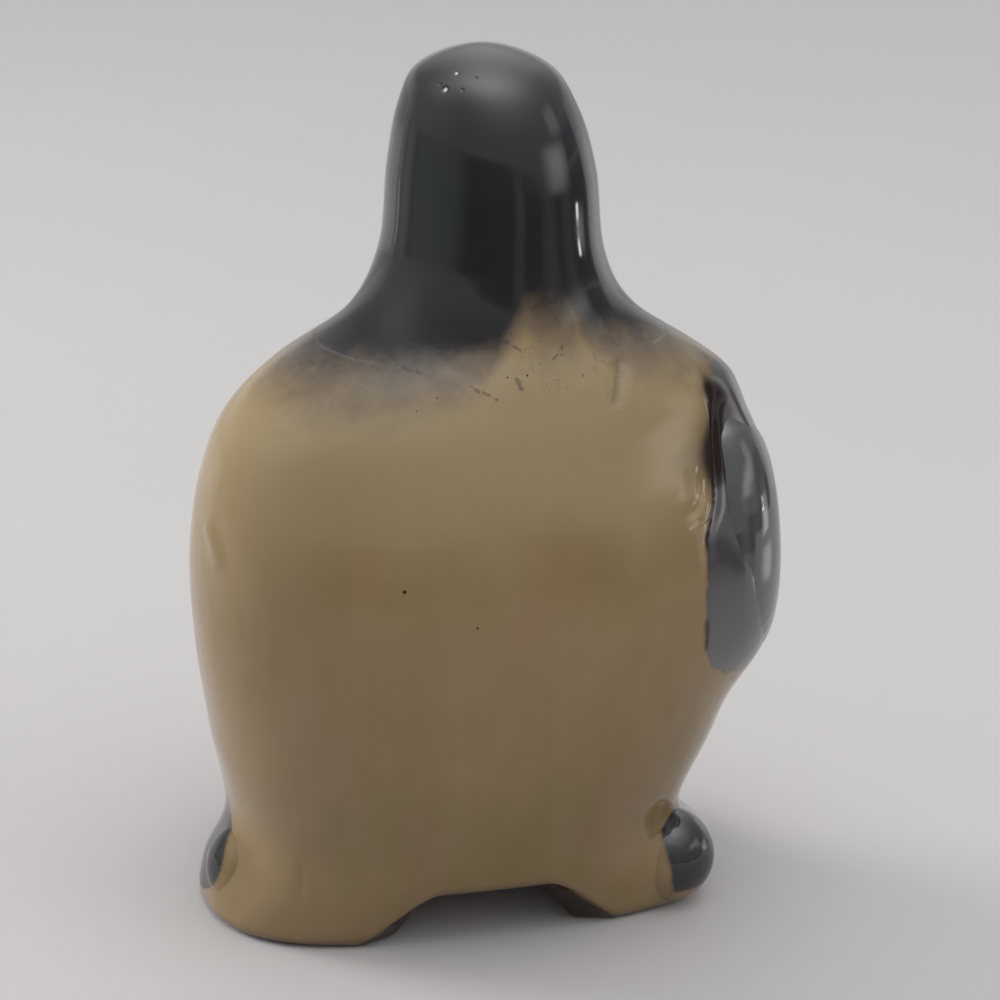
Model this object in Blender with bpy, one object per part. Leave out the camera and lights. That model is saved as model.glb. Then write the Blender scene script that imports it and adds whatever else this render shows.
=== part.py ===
"""Seated cat figurine in glazed ceramic, hollow, made of luted clay pieces.

The cat faces -Y, its left side is at +X, and it stands on the plane Z = 0.
"""

import math

import bmesh
import bpy
import numpy as np

MM = 0.001

# The skin of trunk and head is one smooth surface. Each station gives
# height, half width, lean to the left, middle in Y, half depth, squareness of the section.
STATIONS = [
    (0.0 * MM, 36.8 * MM, 1.8 * MM, 0.0 * MM, 23.6 * MM, 3.20),
    (1.4 * MM, 38.2 * MM, 1.8 * MM, 0.0 * MM, 25.0 * MM, 3.20),
    (6.0 * MM, 37.0 * MM, 1.9 * MM, 0.8 * MM, 26.0 * MM, 3.00),
    (15.0 * MM, 33.9 * MM, 2.2 * MM, 3.0 * MM, 27.4 * MM, 2.50),
    (28.0 * MM, 37.7 * MM, 1.2 * MM, 5.6 * MM, 29.2 * MM, 2.28),
    (42.0 * MM, 41.1 * MM, 0.0 * MM, 6.6 * MM, 30.2 * MM, 2.25),
    (56.0 * MM, 41.8 * MM, 0.0 * MM, 7.2 * MM, 29.8 * MM, 2.25),
    (68.0 * MM, 40.2 * MM, 0.1 * MM, 7.8 * MM, 27.8 * MM, 2.20),
    (77.0 * MM, 36.5 * MM, 0.8 * MM, 8.6 * MM, 24.2 * MM, 2.12),
    (84.0 * MM, 30.2 * MM, 0.5 * MM, 8.8 * MM, 20.6 * MM, 2.05),
    (91.0 * MM, 20.8 * MM, -1.1 * MM, 8.4 * MM, 17.4 * MM, 2.00),
    (100.0 * MM, 16.1 * MM, -1.3 * MM, 8.0 * MM, 16.4 * MM, 2.00),
    (112.0 * MM, 14.7 * MM, -1.2 * MM, 7.8 * MM, 16.0 * MM, 2.00),
    (121.0 * MM, 12.6 * MM, -0.4 * MM, 8.6 * MM, 13.6 * MM, 2.00),
    (127.0 * MM, 9.0 * MM, 0.4 * MM, 9.2 * MM, 8.8 * MM, 2.00),
    (130.0 * MM, 0.0 * MM, 0.7 * MM, 9.5 * MM, 0.0 * MM, 2.00),
]

# The right shoulder is hunched under the raised foreleg: height, bearing, rise and the two spreads.
HUNCH_HEIGHT = 83.0 * MM
HUNCH_BEARING = 168.0
HUNCH_RISE = 3.2 * MM
HUNCH_TALL = 6.5 * MM
HUNCH_WIDE = 45.0

# The foot of the trunk spreads over the haunches at the back and draws in towards the front paws.
FRONT_DRAW_IN = 0.45
DRAW_IN_FULL_BELOW = 4.0 * MM
DRAW_IN_ENDS_AT = 21.0 * MM

SLIP_GAP = 0.3 * MM
BODY_WALL = 4.0 * MM
HEAD_WALL = 3.6 * MM
NECK_SEAM = 88.0 * MM
NECK_LIP = 5.4 * MM

# The base plate sits up inside the foot rim, under a ledge.
RIM_WALL = 3.4 * MM
RIM_SECTION = 1.4 * MM
LEDGE_WIDTH = 1.8 * MM
LEDGE_HEIGHT = 13.0 * MM
PLATE_THICK = 3.0 * MM
DRAIN_RADIUS = 4.8 * MM

# The arch between the two haunches, cut through the back of the foot rim.
ARCH_HEIGHT = 8.6 * MM
ARCH_FLOOR_WIDTH = 40.0 * MM
ARCH_TOP_WIDTH = 20.0 * MM
ARCH_START_Y = 8.0 * MM
ARCH_END_Y = 45.0 * MM
CUT_BEYOND = 2.0 * MM

SKIN_SIDES = 44
TRUNK_RINGS = 20
TRUNK_INNER_RINGS = 10
HEAD_RINGS = 14
HEAD_INNER_RINGS = 8
CROWN_PLACE = 0.98

# A foreleg node gives height, bearing in degrees, lift off the skin, half width, half thickness.
# Bearing 0 is the cat's left (+X), 90 its back (+Y), 180 its right and 270 its front.
RAISED_FORELEG = [
    (79.5 * MM, 160.0, -3.6 * MM, 6.6 * MM, 4.4 * MM),
    (70.0 * MM, 155.0, -1.9 * MM, 9.4 * MM, 5.0 * MM),
    (56.0 * MM, 155.0, -1.7 * MM, 10.6 * MM, 5.2 * MM),
    (44.0 * MM, 168.0, -1.7 * MM, 9.4 * MM, 5.0 * MM),
    (41.5 * MM, 196.0, -0.8 * MM, 7.6 * MM, 5.0 * MM),
    (49.0 * MM, 222.0, 0.6 * MM, 6.4 * MM, 5.2 * MM),
    (59.0 * MM, 243.0, 1.8 * MM, 5.8 * MM, 5.2 * MM),
]
STRAIGHT_FORELEG = [
    (73.0 * MM, 318.0, -4.2 * MM, 8.4 * MM, 5.2 * MM),
    (60.0 * MM, 309.0, -2.4 * MM, 9.6 * MM, 5.8 * MM),
    (43.0 * MM, 300.0, -0.4 * MM, 8.0 * MM, 6.0 * MM),
    (25.0 * MM, 294.0, 1.4 * MM, 6.4 * MM, 5.8 * MM),
    (9.0 * MM, 291.0, 3.0 * MM, 6.0 * MM, 5.4 * MM),
]
TAIL_PATH = [
    (-21.0 * MM, -24.5 * MM, 4.4 * MM),
    (-14.0 * MM, -30.0 * MM, 4.2 * MM),
    (-5.0 * MM, -32.6 * MM, 3.9 * MM),
    (4.5 * MM, -33.0 * MM, 3.4 * MM),
]

PAW_RADII = (6.6 * MM, 8.6 * MM, 5.0 * MM)
TOE_RADIUS = 2.3 * MM
TOES = 4
FRONT_PAW_Z = 4.4 * MM
FRONT_PAW_REACH = 3.6 * MM
# The raised paw goes on from the end of its foreleg: rise, turn in degrees, lift.
RAISED_PAW_RISE = 6.0 * MM
RAISED_PAW_TURN = 10.0
RAISED_PAW_LIFT = 2.4 * MM

# A hind foot lies along the flank, heel first. Each node gives X, Y, Z, half width, half height.
LEFT_HIND_FOOT = [
    (33.2 * MM, 7.0 * MM, 7.2 * MM, 7.2 * MM, 7.2 * MM),
    (32.4 * MM, 1.0 * MM, 5.4 * MM, 6.8 * MM, 6.0 * MM),
    (29.9 * MM, -7.0 * MM, 4.6 * MM, 6.6 * MM, 4.8 * MM),
    (26.2 * MM, -17.0 * MM, 4.6 * MM, 6.2 * MM, 4.8 * MM),
]
RIGHT_HIND_FOOT = [
    (-27.2 * MM, 18.0 * MM, 7.4 * MM, 7.2 * MM, 7.2 * MM),
    (-29.6 * MM, 8.0 * MM, 5.4 * MM, 6.8 * MM, 6.0 * MM),
    (-29.6 * MM, -3.0 * MM, 4.6 * MM, 6.6 * MM, 4.8 * MM),
    (-26.2 * MM, -15.0 * MM, 4.6 * MM, 6.2 * MM, 4.8 * MM),
]
HIND_TOES_TURN_IN = 6.0
HIND_PAW_RADII = (6.4 * MM, 7.2 * MM, 4.8 * MM)

THIGH_HEIGHT = 23.0 * MM
THIGH_BEARING = 315.0
THIGH_SINK = -1.4 * MM
THIGH_RADII = (11.5 * MM, 14.5 * MM, 5.2 * MM)

MUZZLE_HEIGHT = 100.0 * MM
MUZZLE_LIFT = 0.9 * MM
CHEEK_RADII = (4.9 * MM, 4.6 * MM, 4.1 * MM)
CHEEK_SPREAD = 3.3 * MM
CHIN_RADII = (3.9 * MM, 3.4 * MM, 2.9 * MM)
CHIN_DROP = 3.9 * MM
BRIDGE_RADII = (3.3 * MM, 3.4 * MM, 6.6 * MM)
BRIDGE_RISE = 4.6 * MM
NOSE_RISE = 2.6 * MM
NOSE_LIFT = 5.4 * MM
NOSE_RADII = (2.3 * MM, 1.5 * MM, 1.5 * MM)
EYE_HEIGHT = 107.2 * MM
EYE_BEARING = 297.0
EYE_RADII = (3.9 * MM, 2.9 * MM, 1.6 * MM)
EYE_TILT = 14.0

# An ear stands up from its root on the brow, and its tip stays below the crown.
EAR_ROOT_HEIGHT = 113.4 * MM
EAR_BEARING = 298.0
EAR_ROOT_LIFT = -1.2 * MM
EAR_RISE = 8.2 * MM
EAR_LEAN = 1.2 * MM
EAR_HALF_WIDTH = 5.2 * MM
EAR_HALF_THICK = 2.6 * MM

DARK_GLAZE = (0.024, 0.024, 0.025, 1.0)
CREAM_GLAZE = (0.24, 0.18, 0.11, 1.0)
BARE_CLAY = (0.42, 0.33, 0.24, 1.0)
BLUE_GLAZE = (0.05, 0.16, 0.30, 1.0)
NOSE_GLAZE = (0.045, 0.028, 0.026, 1.0)


def clear_scene():
    for obj in list(bpy.data.objects):
        bpy.data.objects.remove(obj, do_unlink=True)


def smooth_path(points, samples):
    """A curve through every point, by Catmull-Rom between its neighbours."""
    points = np.asarray(points, float)
    ends = np.vstack([2 * points[0] - points[1], points, 2 * points[-1] - points[-2]])
    return catmull_rom(ends, samples)


def catmull_rom(points, samples):
    """Samples the spline between the second point and the last but one."""
    spans = len(points) - 3
    at = np.linspace(0.0, spans, samples)
    span = np.minimum(at.astype(int), spans - 1)
    t = (at - span)[:, None]
    before, start, end, after = (points[span + k] for k in range(4))
    return 0.5 * (
        2 * start
        + (end - before) * t
        + (2 * before - 5 * start + 4 * end - after) * t**2
        + (3 * start - before - 3 * end + after) * t**3
    )


def skin_profile():
    """The stations joined smoothly, round over the crown, as a dense list of sections."""
    stations = np.array(STATIONS)
    over_crown = stations[-2] * (1, -1, 1, 1, -1, 1)
    below_floor = 2 * stations[0] - stations[1]
    return catmull_rom(np.vstack([below_floor, stations, over_crown]), 900)


PROFILE = skin_profile()


def level(height):
    """Where a height lies along the profile, from 0 at the floor to 1 at the crown."""
    return float(np.interp(height, PROFILE[:, 0], np.linspace(0.0, 1.0, len(PROFILE))))


def skin_points(at, turn):
    """Points of the skin, at places along the profile and bearings in radians."""
    place = np.linspace(0.0, 1.0, len(PROFILE))
    height, wide, lean, middle, deep, square = (np.interp(at, place, column) for column in PROFILE.T)
    across = np.sign(np.cos(turn)) * np.abs(np.cos(turn)) ** (2 / square)
    along = np.sign(np.sin(turn)) * np.abs(np.sin(turn)) ** (2 / square)
    hunch = hunch_rise(height, turn)
    x = lean + wide * across * (1 - draw_in(height, along)) + hunch * np.cos(turn)
    y = middle + deep * along + hunch * np.sin(turn)
    return np.stack([x, y, height + 0 * x], axis=-1)


def draw_in(height, along):
    """The share of its width that the foot of the trunk loses towards the front."""
    t = np.clip((height - DRAW_IN_FULL_BELOW) / (DRAW_IN_ENDS_AT - DRAW_IN_FULL_BELOW), 0.0, 1.0)
    return FRONT_DRAW_IN * (1 - t * t * (3 - 2 * t)) * np.clip(-along, 0.0, 1.0) ** 1.5


def hunch_rise(height, turn):
    """How far the raised shoulder swells out of the even section."""
    away = (np.degrees(turn) - HUNCH_BEARING + 180.0) % 360.0 - 180.0
    return HUNCH_RISE * np.exp(-(((height - HUNCH_HEIGHT) / HUNCH_TALL) ** 2) - (away / HUNCH_WIDE) ** 2)


def skin_normals(at, turn):
    step_at = 0.004
    step_turn = 0.02
    low = np.clip(at - step_at, 0.0, 1.0)
    high = np.clip(at + step_at, 0.0, 1.0)
    up = skin_points(high, turn) - skin_points(low, turn)
    round_about = skin_points(at, turn + step_turn) - skin_points(at, turn - step_turn)
    normal = np.cross(round_about, up)
    return normal / np.linalg.norm(normal, axis=-1, keepdims=True)


def bearings(sides):
    return np.linspace(0.0, 2 * math.pi, sides, endpoint=False)


def skin_ring(at, grow=0.0):
    """One ring of the skin, moved out by the growth along the surface normals."""
    turn = bearings(SKIN_SIDES)
    place = np.full(SKIN_SIDES, at)
    return skin_points(place, turn) + grow * skin_normals(place, turn)


def flat_ring(height, inset):
    """The section at one height, moved inwards in its own plane."""
    turn = bearings(SKIN_SIDES)
    place = np.full(SKIN_SIDES, level(height))
    ring = skin_points(place, turn)
    edge = np.roll(ring, -1, axis=0) - np.roll(ring, 1, axis=0)
    inward = np.stack([-edge[:, 1], edge[:, 0], np.zeros(SKIN_SIDES)], axis=1)
    ring = ring + inset * inward / np.linalg.norm(inward, axis=1, keepdims=True)
    return ring


def rim_ring(inset, height):
    """The opening inside the foot rim: waist and foot limit its width, and the foot limits its depth."""
    waist = flat_ring(LEDGE_HEIGHT, inset)
    foot = flat_ring(RIM_SECTION, inset)
    x = np.where(np.abs(waist[:, 0]) < np.abs(foot[:, 0]), waist[:, 0], foot[:, 0])
    return np.column_stack([x, foot[:, 1], np.full(SKIN_SIDES, height)])


def crown_point(grow=0.0):
    height, _, lean, middle, _, _ = STATIONS[-1]
    return np.array([[lean, middle, height + grow]])


def anchor(height, bearing, lift):
    """A point over the skin and the direction out of the skin there."""
    at = np.array([level(height)])
    turn = np.array([math.radians(bearing)])
    normal = skin_normals(at, turn)[0]
    return skin_points(at, turn)[0] + lift * normal, normal


def bridge(name, rings, loop=False):
    """A closed mesh over rings of equal size. A ring of one point ends the mesh in a fan."""
    vertices = np.vstack(rings)
    starts = np.cumsum([0] + [len(ring) for ring in rings])
    faces = []
    pairs = list(zip(range(len(rings)), range(1, len(rings))))
    if loop:
        pairs.append((len(rings) - 1, 0))
    for first, second in pairs:
        faces += strip(starts[first], len(rings[first]), starts[second], len(rings[second]))
    if not loop:
        faces += end_caps(rings, starts)
    return mesh_object(name, vertices, faces)


def strip(a, a_size, b, b_size):
    size = max(a_size, b_size)
    faces = []
    for k in range(size):
        after = (k + 1) % size
        if a_size == 1:
            faces.append((a, b + after, b + k))
        elif b_size == 1:
            faces.append((a + k, a + after, b))
        else:
            faces.append((a + k, a + after, b + after, b + k))
    return faces


def end_caps(rings, starts):
    caps = []
    if len(rings[0]) > 1:
        caps.append(tuple(starts[0] + k for k in reversed(range(len(rings[0])))))
    if len(rings[-1]) > 1:
        caps.append(tuple(starts[-2] + k for k in range(len(rings[-1]))))
    return caps


def mesh_object(name, vertices, faces):
    mesh = bpy.data.meshes.new(name)
    mesh.from_pydata([tuple(map(float, v)) for v in vertices], [], faces)
    work = bmesh.new()
    work.from_mesh(mesh)
    bmesh.ops.recalc_face_normals(work, faces=work.faces)
    work.to_mesh(mesh)
    work.free()
    obj = bpy.data.objects.new(name, mesh)
    bpy.context.scene.collection.objects.link(obj)
    return obj


def combine(obj, other, operation):
    """Applies an exact Boolean and removes the second object."""
    modifier = obj.modifiers.new("combine", "BOOLEAN")
    modifier.operation = operation
    modifier.solver = "EXACT"
    modifier.use_self = True
    modifier.object = other
    graph = bpy.context.evaluated_depsgraph_get()
    result = bpy.data.meshes.new_from_object(obj.evaluated_get(graph))
    obj.modifiers.remove(modifier)
    obj.data = result
    bpy.data.objects.remove(other, do_unlink=True)


def ellipsoid(name, centre, radii, axes=None, sides=18, rings=8, grow=0.0):
    """An ellipsoid whose three half sizes lie along the rows of axes."""
    axes = np.eye(3) if axes is None else axes
    half = np.asarray(radii) + grow
    turn = bearings(sides)
    levels = []
    for k in range(rings + 1):
        lift = math.pi * k / rings
        if k in (0, rings):
            levels.append(np.array([[0.0, 0.0, -math.cos(lift)]]))
            continue
        circle = np.stack([np.cos(turn), np.sin(turn)], axis=1) * math.sin(lift)
        levels.append(np.column_stack([circle, np.full(sides, -math.cos(lift))]))
    return bridge(name, [centre + (ring * half) @ axes for ring in levels])


def upright_axes(bearing):
    """Axes of a piece that points along a bearing: across, along, up."""
    turn = math.radians(bearing)
    along = np.array([math.cos(turn), math.sin(turn), 0.0])
    up = np.array([0.0, 0.0, 1.0])
    return np.array([np.cross(along, up), along, up])


def surface_axes(normal, tilt=0.0):
    """Axes of a piece that lies on the skin: sideways, up the skin, out of it."""
    side = np.cross([0.0, 0.0, 1.0], normal)
    side /= np.linalg.norm(side)
    rise = np.cross(normal, side)
    turn = math.radians(tilt)
    across = math.cos(turn) * side + math.sin(turn) * rise
    return np.array([across, np.cross(normal, across), normal])


def sweep(name, points, normals, half_widths, half_thicks, sides=18, grow=0.0):
    """A limb of oval section along a path, with rounded ends. The thin way of the oval follows the normals."""
    tangents = np.gradient(points, axis=0)
    tangents /= np.linalg.norm(tangents, axis=1, keepdims=True)
    across = np.cross(tangents, normals)
    across /= np.linalg.norm(across, axis=1, keepdims=True)
    outward = np.cross(across, tangents)
    turn = bearings(sides)

    def oval(k, shrink, shift):
        wide = shrink * (half_widths[k] + grow)
        thick = shrink * (half_thicks[k] + grow)
        centre = points[k] + shift * tangents[k]
        return centre + np.outer(np.cos(turn) * wide, across[k]) + np.outer(np.sin(turn) * thick, outward[k])

    last = len(points) - 1
    rings = rounded_end(oval, 0, -(half_thicks[0] + grow), points[0], tangents[0])
    rings += [oval(k, 1.0, 0.0) for k in range(len(points))]
    rings += reversed(rounded_end(oval, last, half_thicks[last] + grow, points[last], tangents[last]))
    return bridge(name, rings)


def rounded_end(oval, k, reach, point, tangent):
    """A pole and two rings that close a limb like the end of an egg."""
    tip = (point + reach * tangent)[None, :]
    rings = [oval(k, math.sin(a), reach * math.cos(a)) for a in (math.pi / 6, math.pi / 3)]
    return [tip] + rings


def skin_limb(name, nodes, samples, grow=0.0):
    """A limb that lies on the skin, from nodes of height, bearing, lift, half width and half thickness."""
    path = smooth_path(nodes, samples)
    placed = [anchor(height, bearing, lift) for height, bearing, lift, _, _ in path]
    points = np.array([point for point, _ in placed])
    normals = np.array([normal for _, normal in placed])
    return sweep(name, points, normals, path[:, 3], path[:, 4], grow=grow)


def trunk_places():
    return np.linspace(0.0, level(NECK_SEAM), TRUNK_RINGS)


def head_places():
    return np.linspace(level(NECK_SEAM + SLIP_GAP), CROWN_PLACE, HEAD_RINGS)


def skin_guide(grow):
    """The whole trunk and head as one solid, grown by the gap: luted pieces are cut to sit on it."""
    rings = [skin_ring(at, grow) for at in (*trunk_places(), *head_places()[1:])]
    return bridge("guide", [*rings, crown_point(grow)])


def floor_block():
    """Everything under the floor, to cut resting pieces flat."""
    size = STATIONS[-1][0]
    corners = [(x, y) for x, y in ((-size, -size), (size, -size), (size, size), (-size, size))]
    rings = [np.array([(x, y, z) for x, y in corners]) for z in (-size, 0.0)]
    return bridge("floor", rings)


def make_body_shell():
    outer = [skin_ring(at) for at in trunk_places()]
    inner_top = level(NECK_SEAM - BODY_WALL)
    inner_low = level(LEDGE_HEIGHT + BODY_WALL)
    inner = [skin_ring(at, -BODY_WALL) for at in np.linspace(inner_top, inner_low, TRUNK_INNER_RINGS)]
    ledge = rim_ring(RIM_WALL + LEDGE_WIDTH, LEDGE_HEIGHT)
    rebate = [rim_ring(RIM_WALL, height) for height in (LEDGE_HEIGHT, 0.0)]
    rings = [*outer, flat_ring(NECK_SEAM, NECK_LIP), *inner, ledge, *rebate]
    body = bridge("body_shell", rings, loop=True)
    combine(body, arch_cutter(), "DIFFERENCE")
    return body


def arch_cutter():
    """A low arch with splayed, rounded feet, run through the back of the rim."""
    lean = STATIONS[1][2]
    steps = 14
    across = np.linspace(-1.0, 1.0, steps + 1)
    swell = 0.5 * (ARCH_FLOOR_WIDTH - ARCH_TOP_WIDTH)
    profile = []
    for u in across:
        x = u * 0.5 * ARCH_FLOOR_WIDTH
        beyond = max(0.0, abs(x) - 0.5 * ARCH_TOP_WIDTH) / swell
        profile.append((x, ARCH_HEIGHT * 0.5 * (1 + math.cos(math.pi * beyond))))
    outline = [(-0.5 * ARCH_FLOOR_WIDTH, -CUT_BEYOND), *profile, (0.5 * ARCH_FLOOR_WIDTH, -CUT_BEYOND)]
    rings = [np.array([(lean + x, y, z) for x, z in outline]) for y in (ARCH_START_Y, ARCH_END_Y)]
    return bridge("arch", rings)


def make_base_plate():
    top = LEDGE_HEIGHT - SLIP_GAP
    bottom = top - PLATE_THICK
    turn = bearings(SKIN_SIDES)
    circle = DRAIN_RADIUS * np.stack([np.cos(turn), np.sin(turn), 0 * turn], axis=1)
    edge = RIM_WALL + SLIP_GAP
    rings = [
        circle + (0.0, 0.0, bottom),
        rim_ring(edge, bottom),
        rim_ring(edge, top),
        circle + (0.0, 0.0, top),
    ]
    return bridge("base_plate", rings, loop=True)


def make_head_shell():
    outer = [skin_ring(at) for at in head_places()]
    inner_low = level(NECK_SEAM + HEAD_WALL)
    inner = [skin_ring(at, -HEAD_WALL) for at in np.linspace(CROWN_PLACE, inner_low, HEAD_INNER_RINGS)]
    lip = flat_ring(NECK_SEAM + SLIP_GAP, NECK_LIP)
    rings = [*outer, crown_point(), crown_point(-HEAD_WALL), *inner, lip]
    return head_mesh(rings)


def head_mesh(rings):
    """The head is open at the neck, so its outer and inner skins join only at the lip."""
    crown = next(k for k, ring in enumerate(rings) if len(ring) == 1)
    vertices = np.vstack(rings)
    starts = np.cumsum([0] + [len(ring) for ring in rings])
    faces = []
    for first in range(len(rings)):
        second = (first + 1) % len(rings)
        if first == crown:
            continue
        faces += strip(starts[first], len(rings[first]), starts[second], len(rings[second]))
    return mesh_object("head_shell", vertices, faces)


def mirrored(nodes_or_bearing):
    return 180.0 - nodes_or_bearing


def paw_shapes(centre, bearing, radii, grow, toe_tilt=0.0):
    """A pad with a row of toes at its front end."""
    axes = upright_axes(bearing)
    shapes = [ellipsoid("pad", centre, radii, axes, grow=grow)]
    spread = radii[0] - 0.8 * TOE_RADIUS
    for k in range(TOES):
        side = -spread + 2 * spread * k / (TOES - 1)
        reach = radii[1] * math.sqrt(1 - (0.8 * side / radii[0]) ** 2) - 0.5 * TOE_RADIUS
        toe = centre + side * axes[0] + reach * axes[1] + toe_tilt * axes[2]
        shapes.append(ellipsoid("toe", toe, (TOE_RADIUS, 1.3 * TOE_RADIUS, TOE_RADIUS), axes, 10, 6, grow))
    return shapes


def front_paw(grow):
    """The paw at the foot of the straight foreleg."""
    ankle, _ = anchor(*STRAIGHT_FORELEG[-1][:3])
    centre = np.array([ankle[0], ankle[1] - FRONT_PAW_REACH, FRONT_PAW_Z])
    return paw_shapes(centre, 270.0, PAW_RADII, grow, TOE_RADIUS - FRONT_PAW_Z)


def raised_paw(grow):
    """The paw goes on from the end of the raised foreleg."""
    height, bearing, lift, _, _ = RAISED_FORELEG[-1]
    bearing += RAISED_PAW_TURN
    centre, _ = anchor(height + RAISED_PAW_RISE, bearing, lift + RAISED_PAW_LIFT)
    return paw_shapes(centre, bearing, PAW_RADII, grow)


def hind_foot(side):
    def shapes(grow):
        path = smooth_path(LEFT_HIND_FOOT if side > 0 else RIGHT_HIND_FOOT, 12)
        points = path[:, :3]
        normals = np.tile([0.0, 0.0, 1.0], (len(path), 1))
        foot = sweep("foot", points, normals, path[:, 3], path[:, 4], 18, grow)
        tilt = TOE_RADIUS - points[-1][2]
        bearing = 270.0 - side * HIND_TOES_TURN_IN
        return [foot] + paw_shapes(points[-1], bearing, HIND_PAW_RADII, grow, tilt)

    return shapes


def thigh(side):
    def shapes(grow):
        bearing = THIGH_BEARING if side > 0 else mirrored(THIGH_BEARING)
        centre, normal = anchor(THIGH_HEIGHT, bearing, THIGH_SINK)
        return [ellipsoid("thigh", centre, THIGH_RADII, surface_axes(normal), 26, 14, grow)]

    return shapes


def raised_foreleg(grow):
    return [skin_limb("leg", RAISED_FORELEG, 20, grow)]


def straight_foreleg(grow):
    return [skin_limb("leg", STRAIGHT_FORELEG, 14, grow)]


def tail(grow):
    path = smooth_path(TAIL_PATH, 14)
    normals = np.tile([0.0, 0.0, 1.0], (len(path), 1))
    return [sweep("tail", path, normals, path[:, 2] + 0.5 * MM, path[:, 2] + 0.5 * MM, 16, grow)]


def muzzle(grow):
    centre, _ = anchor(MUZZLE_HEIGHT, 270.0, MUZZLE_LIFT)
    shapes = []
    for side in (-1, 1):
        cheek = centre + (side * CHEEK_SPREAD, 0.0, 0.0)
        shapes.append(ellipsoid("cheek", cheek, CHEEK_RADII, None, 16, 10, grow))
    chin = centre - (0.0, 0.0, CHIN_DROP)
    shapes.append(ellipsoid("chin", chin, CHIN_RADII, None, 14, 8, grow))
    bridge_centre = centre + (0.0, 0.0, BRIDGE_RISE)
    shapes.append(ellipsoid("bridge", bridge_centre, BRIDGE_RADII, None, 14, 10, grow))
    return shapes


def nose(grow):
    centre, _ = anchor(MUZZLE_HEIGHT, 270.0, NOSE_LIFT)
    return [ellipsoid("nose", centre + (0.0, 0.0, NOSE_RISE), NOSE_RADII, None, 16, 8, grow)]


def eye(side):
    def shapes(grow):
        bearing = EYE_BEARING if side > 0 else mirrored(EYE_BEARING)
        centre, normal = anchor(EYE_HEIGHT, bearing, 0.0)
        return [ellipsoid("eye", centre, EYE_RADII, surface_axes(normal, side * EYE_TILT), 22, 10, grow)]

    return shapes


def ear(side):
    def shapes(grow):
        bearing = EAR_BEARING if side > 0 else mirrored(EAR_BEARING)
        root, normal = anchor(EAR_ROOT_HEIGHT, bearing, EAR_ROOT_LIFT)
        climb = np.array([0.0, -EAR_LEAN, EAR_RISE])
        t = np.linspace(0.0, 0.93, 7)
        points = root + np.outer(t, climb)
        normals = np.tile(normal, (len(t), 1))
        widths = EAR_HALF_WIDTH * (1 - t) ** 0.75
        thicks = EAR_HALF_THICK * (1 - 0.62 * t)
        return [sweep("ear", points, normals, widths, thicks, 16, grow)]

    return shapes


def luted(name, shapes, neighbours):
    """A piece luted to the skin: its shapes joined, then cut by the skin, the floor and its neighbours."""
    solids = shapes(0.0)
    piece = solids[0]
    piece.name = name
    for other in solids[1:]:
        combine(piece, other, "UNION")
    combine(piece, skin_guide(SLIP_GAP), "DIFFERENCE")
    combine(piece, floor_block(), "DIFFERENCE")
    for neighbour in neighbours:
        for other in neighbour(SLIP_GAP):
            combine(piece, other, "DIFFERENCE")
    keep_largest(piece)
    return piece


def keep_largest(obj):
    """Drops the crumbs that a cut can leave beside the piece."""
    work = bmesh.new()
    work.from_mesh(obj.data)
    groups = []
    seen = set()
    for start in work.verts:
        if start in seen:
            continue
        group = [start]
        seen.add(start)
        for vertex in group:
            for edge in vertex.link_edges:
                other = edge.other_vert(vertex)
                if other not in seen:
                    seen.add(other)
                    group.append(other)
        groups.append(group)
    groups.sort(key=len)
    for group in groups[:-1]:
        bmesh.ops.delete(work, geom=group, context="VERTS")
    work.to_mesh(obj.data)
    work.free()


def paint(obj, name, colour, roughness):
    material = bpy.data.materials.new(name)
    material.use_nodes = True
    surface = material.node_tree.nodes["Principled BSDF"]
    surface.inputs["Base Color"].default_value = colour
    surface.inputs["Roughness"].default_value = roughness
    obj.data.materials.clear()
    obj.data.materials.append(material)


def soften(obj):
    """Smooth shading with the edges over 40 degrees kept crisp."""
    for polygon in obj.data.polygons:
        polygon.use_smooth = True
    obj.data.set_sharp_from_angle(angle=math.radians(40.0))


def stand_on_origin(pieces):
    """Moves the whole figure so that the middle of its width and depth is over the origin."""
    corners = np.array([vertex.co for obj in pieces for vertex in obj.data.vertices])
    middle = 0.5 * (corners.min(axis=0) + corners.max(axis=0))
    for obj in pieces:
        for vertex in obj.data.vertices:
            vertex.co.x -= middle[0]
            vertex.co.y -= middle[1]


def build():
    clear_scene()
    dark = (DARK_GLAZE, 0.12)
    cream = (CREAM_GLAZE, 0.15)
    finishes = {
        make_body_shell(): cream,
        make_base_plate(): (BARE_CLAY, 0.85),
        make_head_shell(): dark,
    }
    left, right = 1, -1
    muzzle_piece = luted("muzzle", muzzle, [])
    finishes[muzzle_piece] = dark
    finishes[luted("nose", nose, [muzzle])] = (NOSE_GLAZE, 0.2)
    for side, word in ((left, "left"), (right, "right")):
        finishes[luted(f"eye_{word}", eye(side), [muzzle])] = (BLUE_GLAZE, 0.08)
        finishes[luted(f"ear_{word}", ear(side), [eye(side), muzzle])] = dark
        foot = hind_foot(side)
        finishes[luted(f"hind_foot_{word}", foot, [])] = dark
        others = [foot, straight_foreleg, front_paw] if side == left else [foot]
        finishes[luted(f"thigh_{word}", thigh(side), others)] = cream
    finishes[luted("foreleg_left", straight_foreleg, [])] = dark
    finishes[luted("forepaw_left", front_paw, [straight_foreleg])] = dark
    finishes[luted("foreleg_right", raised_foreleg, [])] = dark
    finishes[luted("forepaw_right", raised_paw, [raised_foreleg])] = dark
    finishes[luted("tail", tail, [hind_foot(right), thigh(right), front_paw, straight_foreleg])] = dark
    for obj, (colour, roughness) in finishes.items():
        paint(obj, f"{obj.name}_glaze", colour, roughness)
        soften(obj)
    stand_on_origin(list(finishes))


build()
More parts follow.
